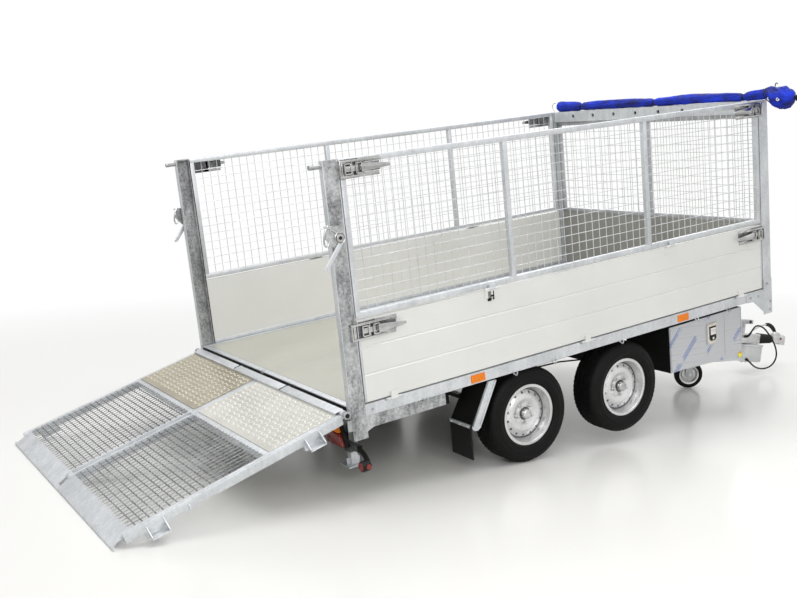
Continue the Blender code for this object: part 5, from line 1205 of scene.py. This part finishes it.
bm = bmesh.new()
rings = []
for i in range(tarp["rings"] + 1):
    y = tarp["run"][0][0] - (0.900 + 1.138) * i / tarp["rings"]
    radius, lift, ahead = tarpAt(y)
    core = Vector((tarp["x"] + ahead, y, tarp["rest"] + tarp["seat"] * radius + lift))
    close = min(1.0, (i + 0.30) / 6, (tarp["rings"] - i + 0.30) / 7) ** 0.5
    rings.append([bm.verts.new(core + (spot - core) * close) for spot in tarpRing(y, tarp["steps"])])
skin(bm, rings)
bm.faces.new(rings[0][::-1])
bm.faces.new(rings[-1])
roll = makePiece("tarpaulin_roll", bm, "tarp", "bed", "rolled_tarpaulin", sharp=180)
bm = bmesh.new()
for tie in tarp["ties"]:
    for shift in (-0.004, 0.004):
        tube(bm, tarpRing(tie + shift, 36), 0.0032, 8, closed=True)
# strap round the gathered end, its hook and the buckle knob
tube(bm, tarpRing(-0.948, 36), 0.0050, 8, closed=True)
bar(bm, (3.072, -1.128, 1.160), (3.072, -1.152, 1.158), 0.0120, 18, soft=0.003)
bar(bm, (3.060, -1.148, 1.172), (3.080, -1.150, 1.142), 0.0100, 14, soft=0.003)
tube(bm, [(3.060, -1.010, 1.232), (3.060, -1.012, 1.248), (3.060, -1.020, 1.253), (3.060, -1.028, 1.246)], 0.0030, 8)
makePiece("tarpaulin_ties", bm, "rubber", "bed", sharp=60)
bm = bmesh.new()
for y, turn in tarp["eyelets"]:
    spot = tarpSkin(y, math.pi + turn)
    lathe(bm, [(0.0045, 0.003), (0.0105, 0.003), (0.0115, 0.001), (0.0105, -0.002), (0.0045, -0.002), (0.0045, 0.003)],
          20, spot, (-1, -0.25, 0.1))
makePiece("tarpaulin_eyelets", bm, "paleBarHighlit", "bed", sharp=60)
bm = bmesh.new()
tube(bm, [(3.020, 0.905, 1.160), (3.018, 0.925, 1.185), (3.018, 0.930, 1.205), (3.020, 0.915, 1.222),
          (3.022, 0.895, 1.222)], 0.0028, 8)
makePiece("tarpaulin_wire_hook", bm, "plated", "bed", sharp=60)
print("tarpaulin rolled")


# underbody: brake cables to the rear axle
bm = bmesh.new()
for _, side in sides:
    tube(bm, [(1.255, side * 0.40, -0.300), (1.32, side * 0.42, -0.268), (1.50, side * 0.44, -0.255),
              (1.72, side * 0.45, -0.262), (1.90, side * 0.44, -0.292)], 0.0050, 8)
    tube(bm, [(1.255, side * 0.30, -0.306), (1.16, side * 0.46, -0.318), (1.13, side * 0.62, -0.322),
              (1.115, side * 0.700, -0.318)], 0.0050, 8)
makePiece("brake_cables", bm, "rubber", "chassis", sharp=60)
print("underbody lines run")


# studio: pale floor that fades to the white surround, soft lamps
def makeStudio():
    studio = {"floor": 60.0, "nearTone": (0.90, 0.895, 0.868, 1.0), "white": (1.0, 1.0, 1.0, 1.0), "world": 0.42,
              "key": 240, "fill": 150, "back": 80}
    bm = bmesh.new()
    bmesh.ops.create_grid(bm, x_segments=1, y_segments=1, size=studio["floor"] / 2)
    mesh = bpy.data.meshes.new("studio_floor")
    bm.to_mesh(mesh)
    bm.free()
    floor = bpy.data.objects.new("studio_floor", mesh)
    bpy.context.scene.collection.objects.link(floor)
    made = bpy.data.materials.new("studio_floor")
    made.use_nodes = True
    tree = made.node_tree
    w = Wire(tree)
    shader = tree.nodes["Principled BSDF"]
    shader.inputs["Base Color"].default_value = studio["nearTone"]
    shader.inputs["Roughness"].default_value = 0.22
    shader.inputs["Specular IOR Level"].default_value = 0.35
    spot = w.node("ShaderNodeTexCoord", out=3)
    away = w.node("ShaderNodeVectorMath", {"operation": "LENGTH"},
                  {0: w.node("ShaderNodeMapping", {}, {"Vector": spot, "Scale": (0.85, 1.0, 1.0)})}, 1)
    white = w.node("ShaderNodeEmission", {}, {"Color": studio["white"], "Strength": 1.0})
    path = w.node("ShaderNodeLightPath")
    fade = spread(w, away, 2.2, 6.5) * path
    mixed = w.node("ShaderNodeMixShader", {}, {0: fade, 1: Wire(tree, shader.outputs[0]), 2: white})
    tree.links.new(mixed.socket, tree.nodes["Material Output"].inputs["Surface"])
    mesh.materials.append(made)

    world = bpy.data.worlds.new("studio")
    bpy.context.scene.world = world
    world.use_nodes = True
    tree = world.node_tree
    w = Wire(tree)
    seen = w.node("ShaderNodeLightPath", out=0)
    shiny = w.node("ShaderNodeLightPath", out=3)
    through = w.node("ShaderNodeLightPath", out=6)
    direct = w.maths("MAXIMUM", w.maths("MAXIMUM", seen, shiny), through)
    power = direct * (1 - studio["world"]) + studio["world"]
    back = tree.nodes["Background"]
    back.inputs["Color"].default_value = studio["white"]
    tree.links.new(power.socket, back.inputs["Strength"])

    def lampAt(name, at, aim, size, watts):
        data = bpy.data.lights.new(name, "AREA")
        data.shape = "RECTANGLE"
        data.size, data.size_y = size
        data.energy = watts
        lamp = bpy.data.objects.new(name, data)
        way = Vector(aim) - Vector(at)
        lamp.matrix_world = Matrix.Translation(at) @ way.to_track_quat("-Z", "Y").to_matrix().to_4x4()
        bpy.context.scene.collection.objects.link(lamp)

    lampAt("overhead", (-0.5, -0.5, 5.5), (0, 0, 0), (6, 5), studio["key"])
    lampAt("camera_side", (-3.5, -6.0, 3.6), (0, 0, 0.6), (5, 3), studio["fill"])
    lampAt("far_side", (4.5, 4.0, 4.0), (0, 0, 0.6), (4, 3), studio["back"])
    bpy.context.scene.view_settings.view_transform = "Standard"


makeStudio()
print("studio lit")
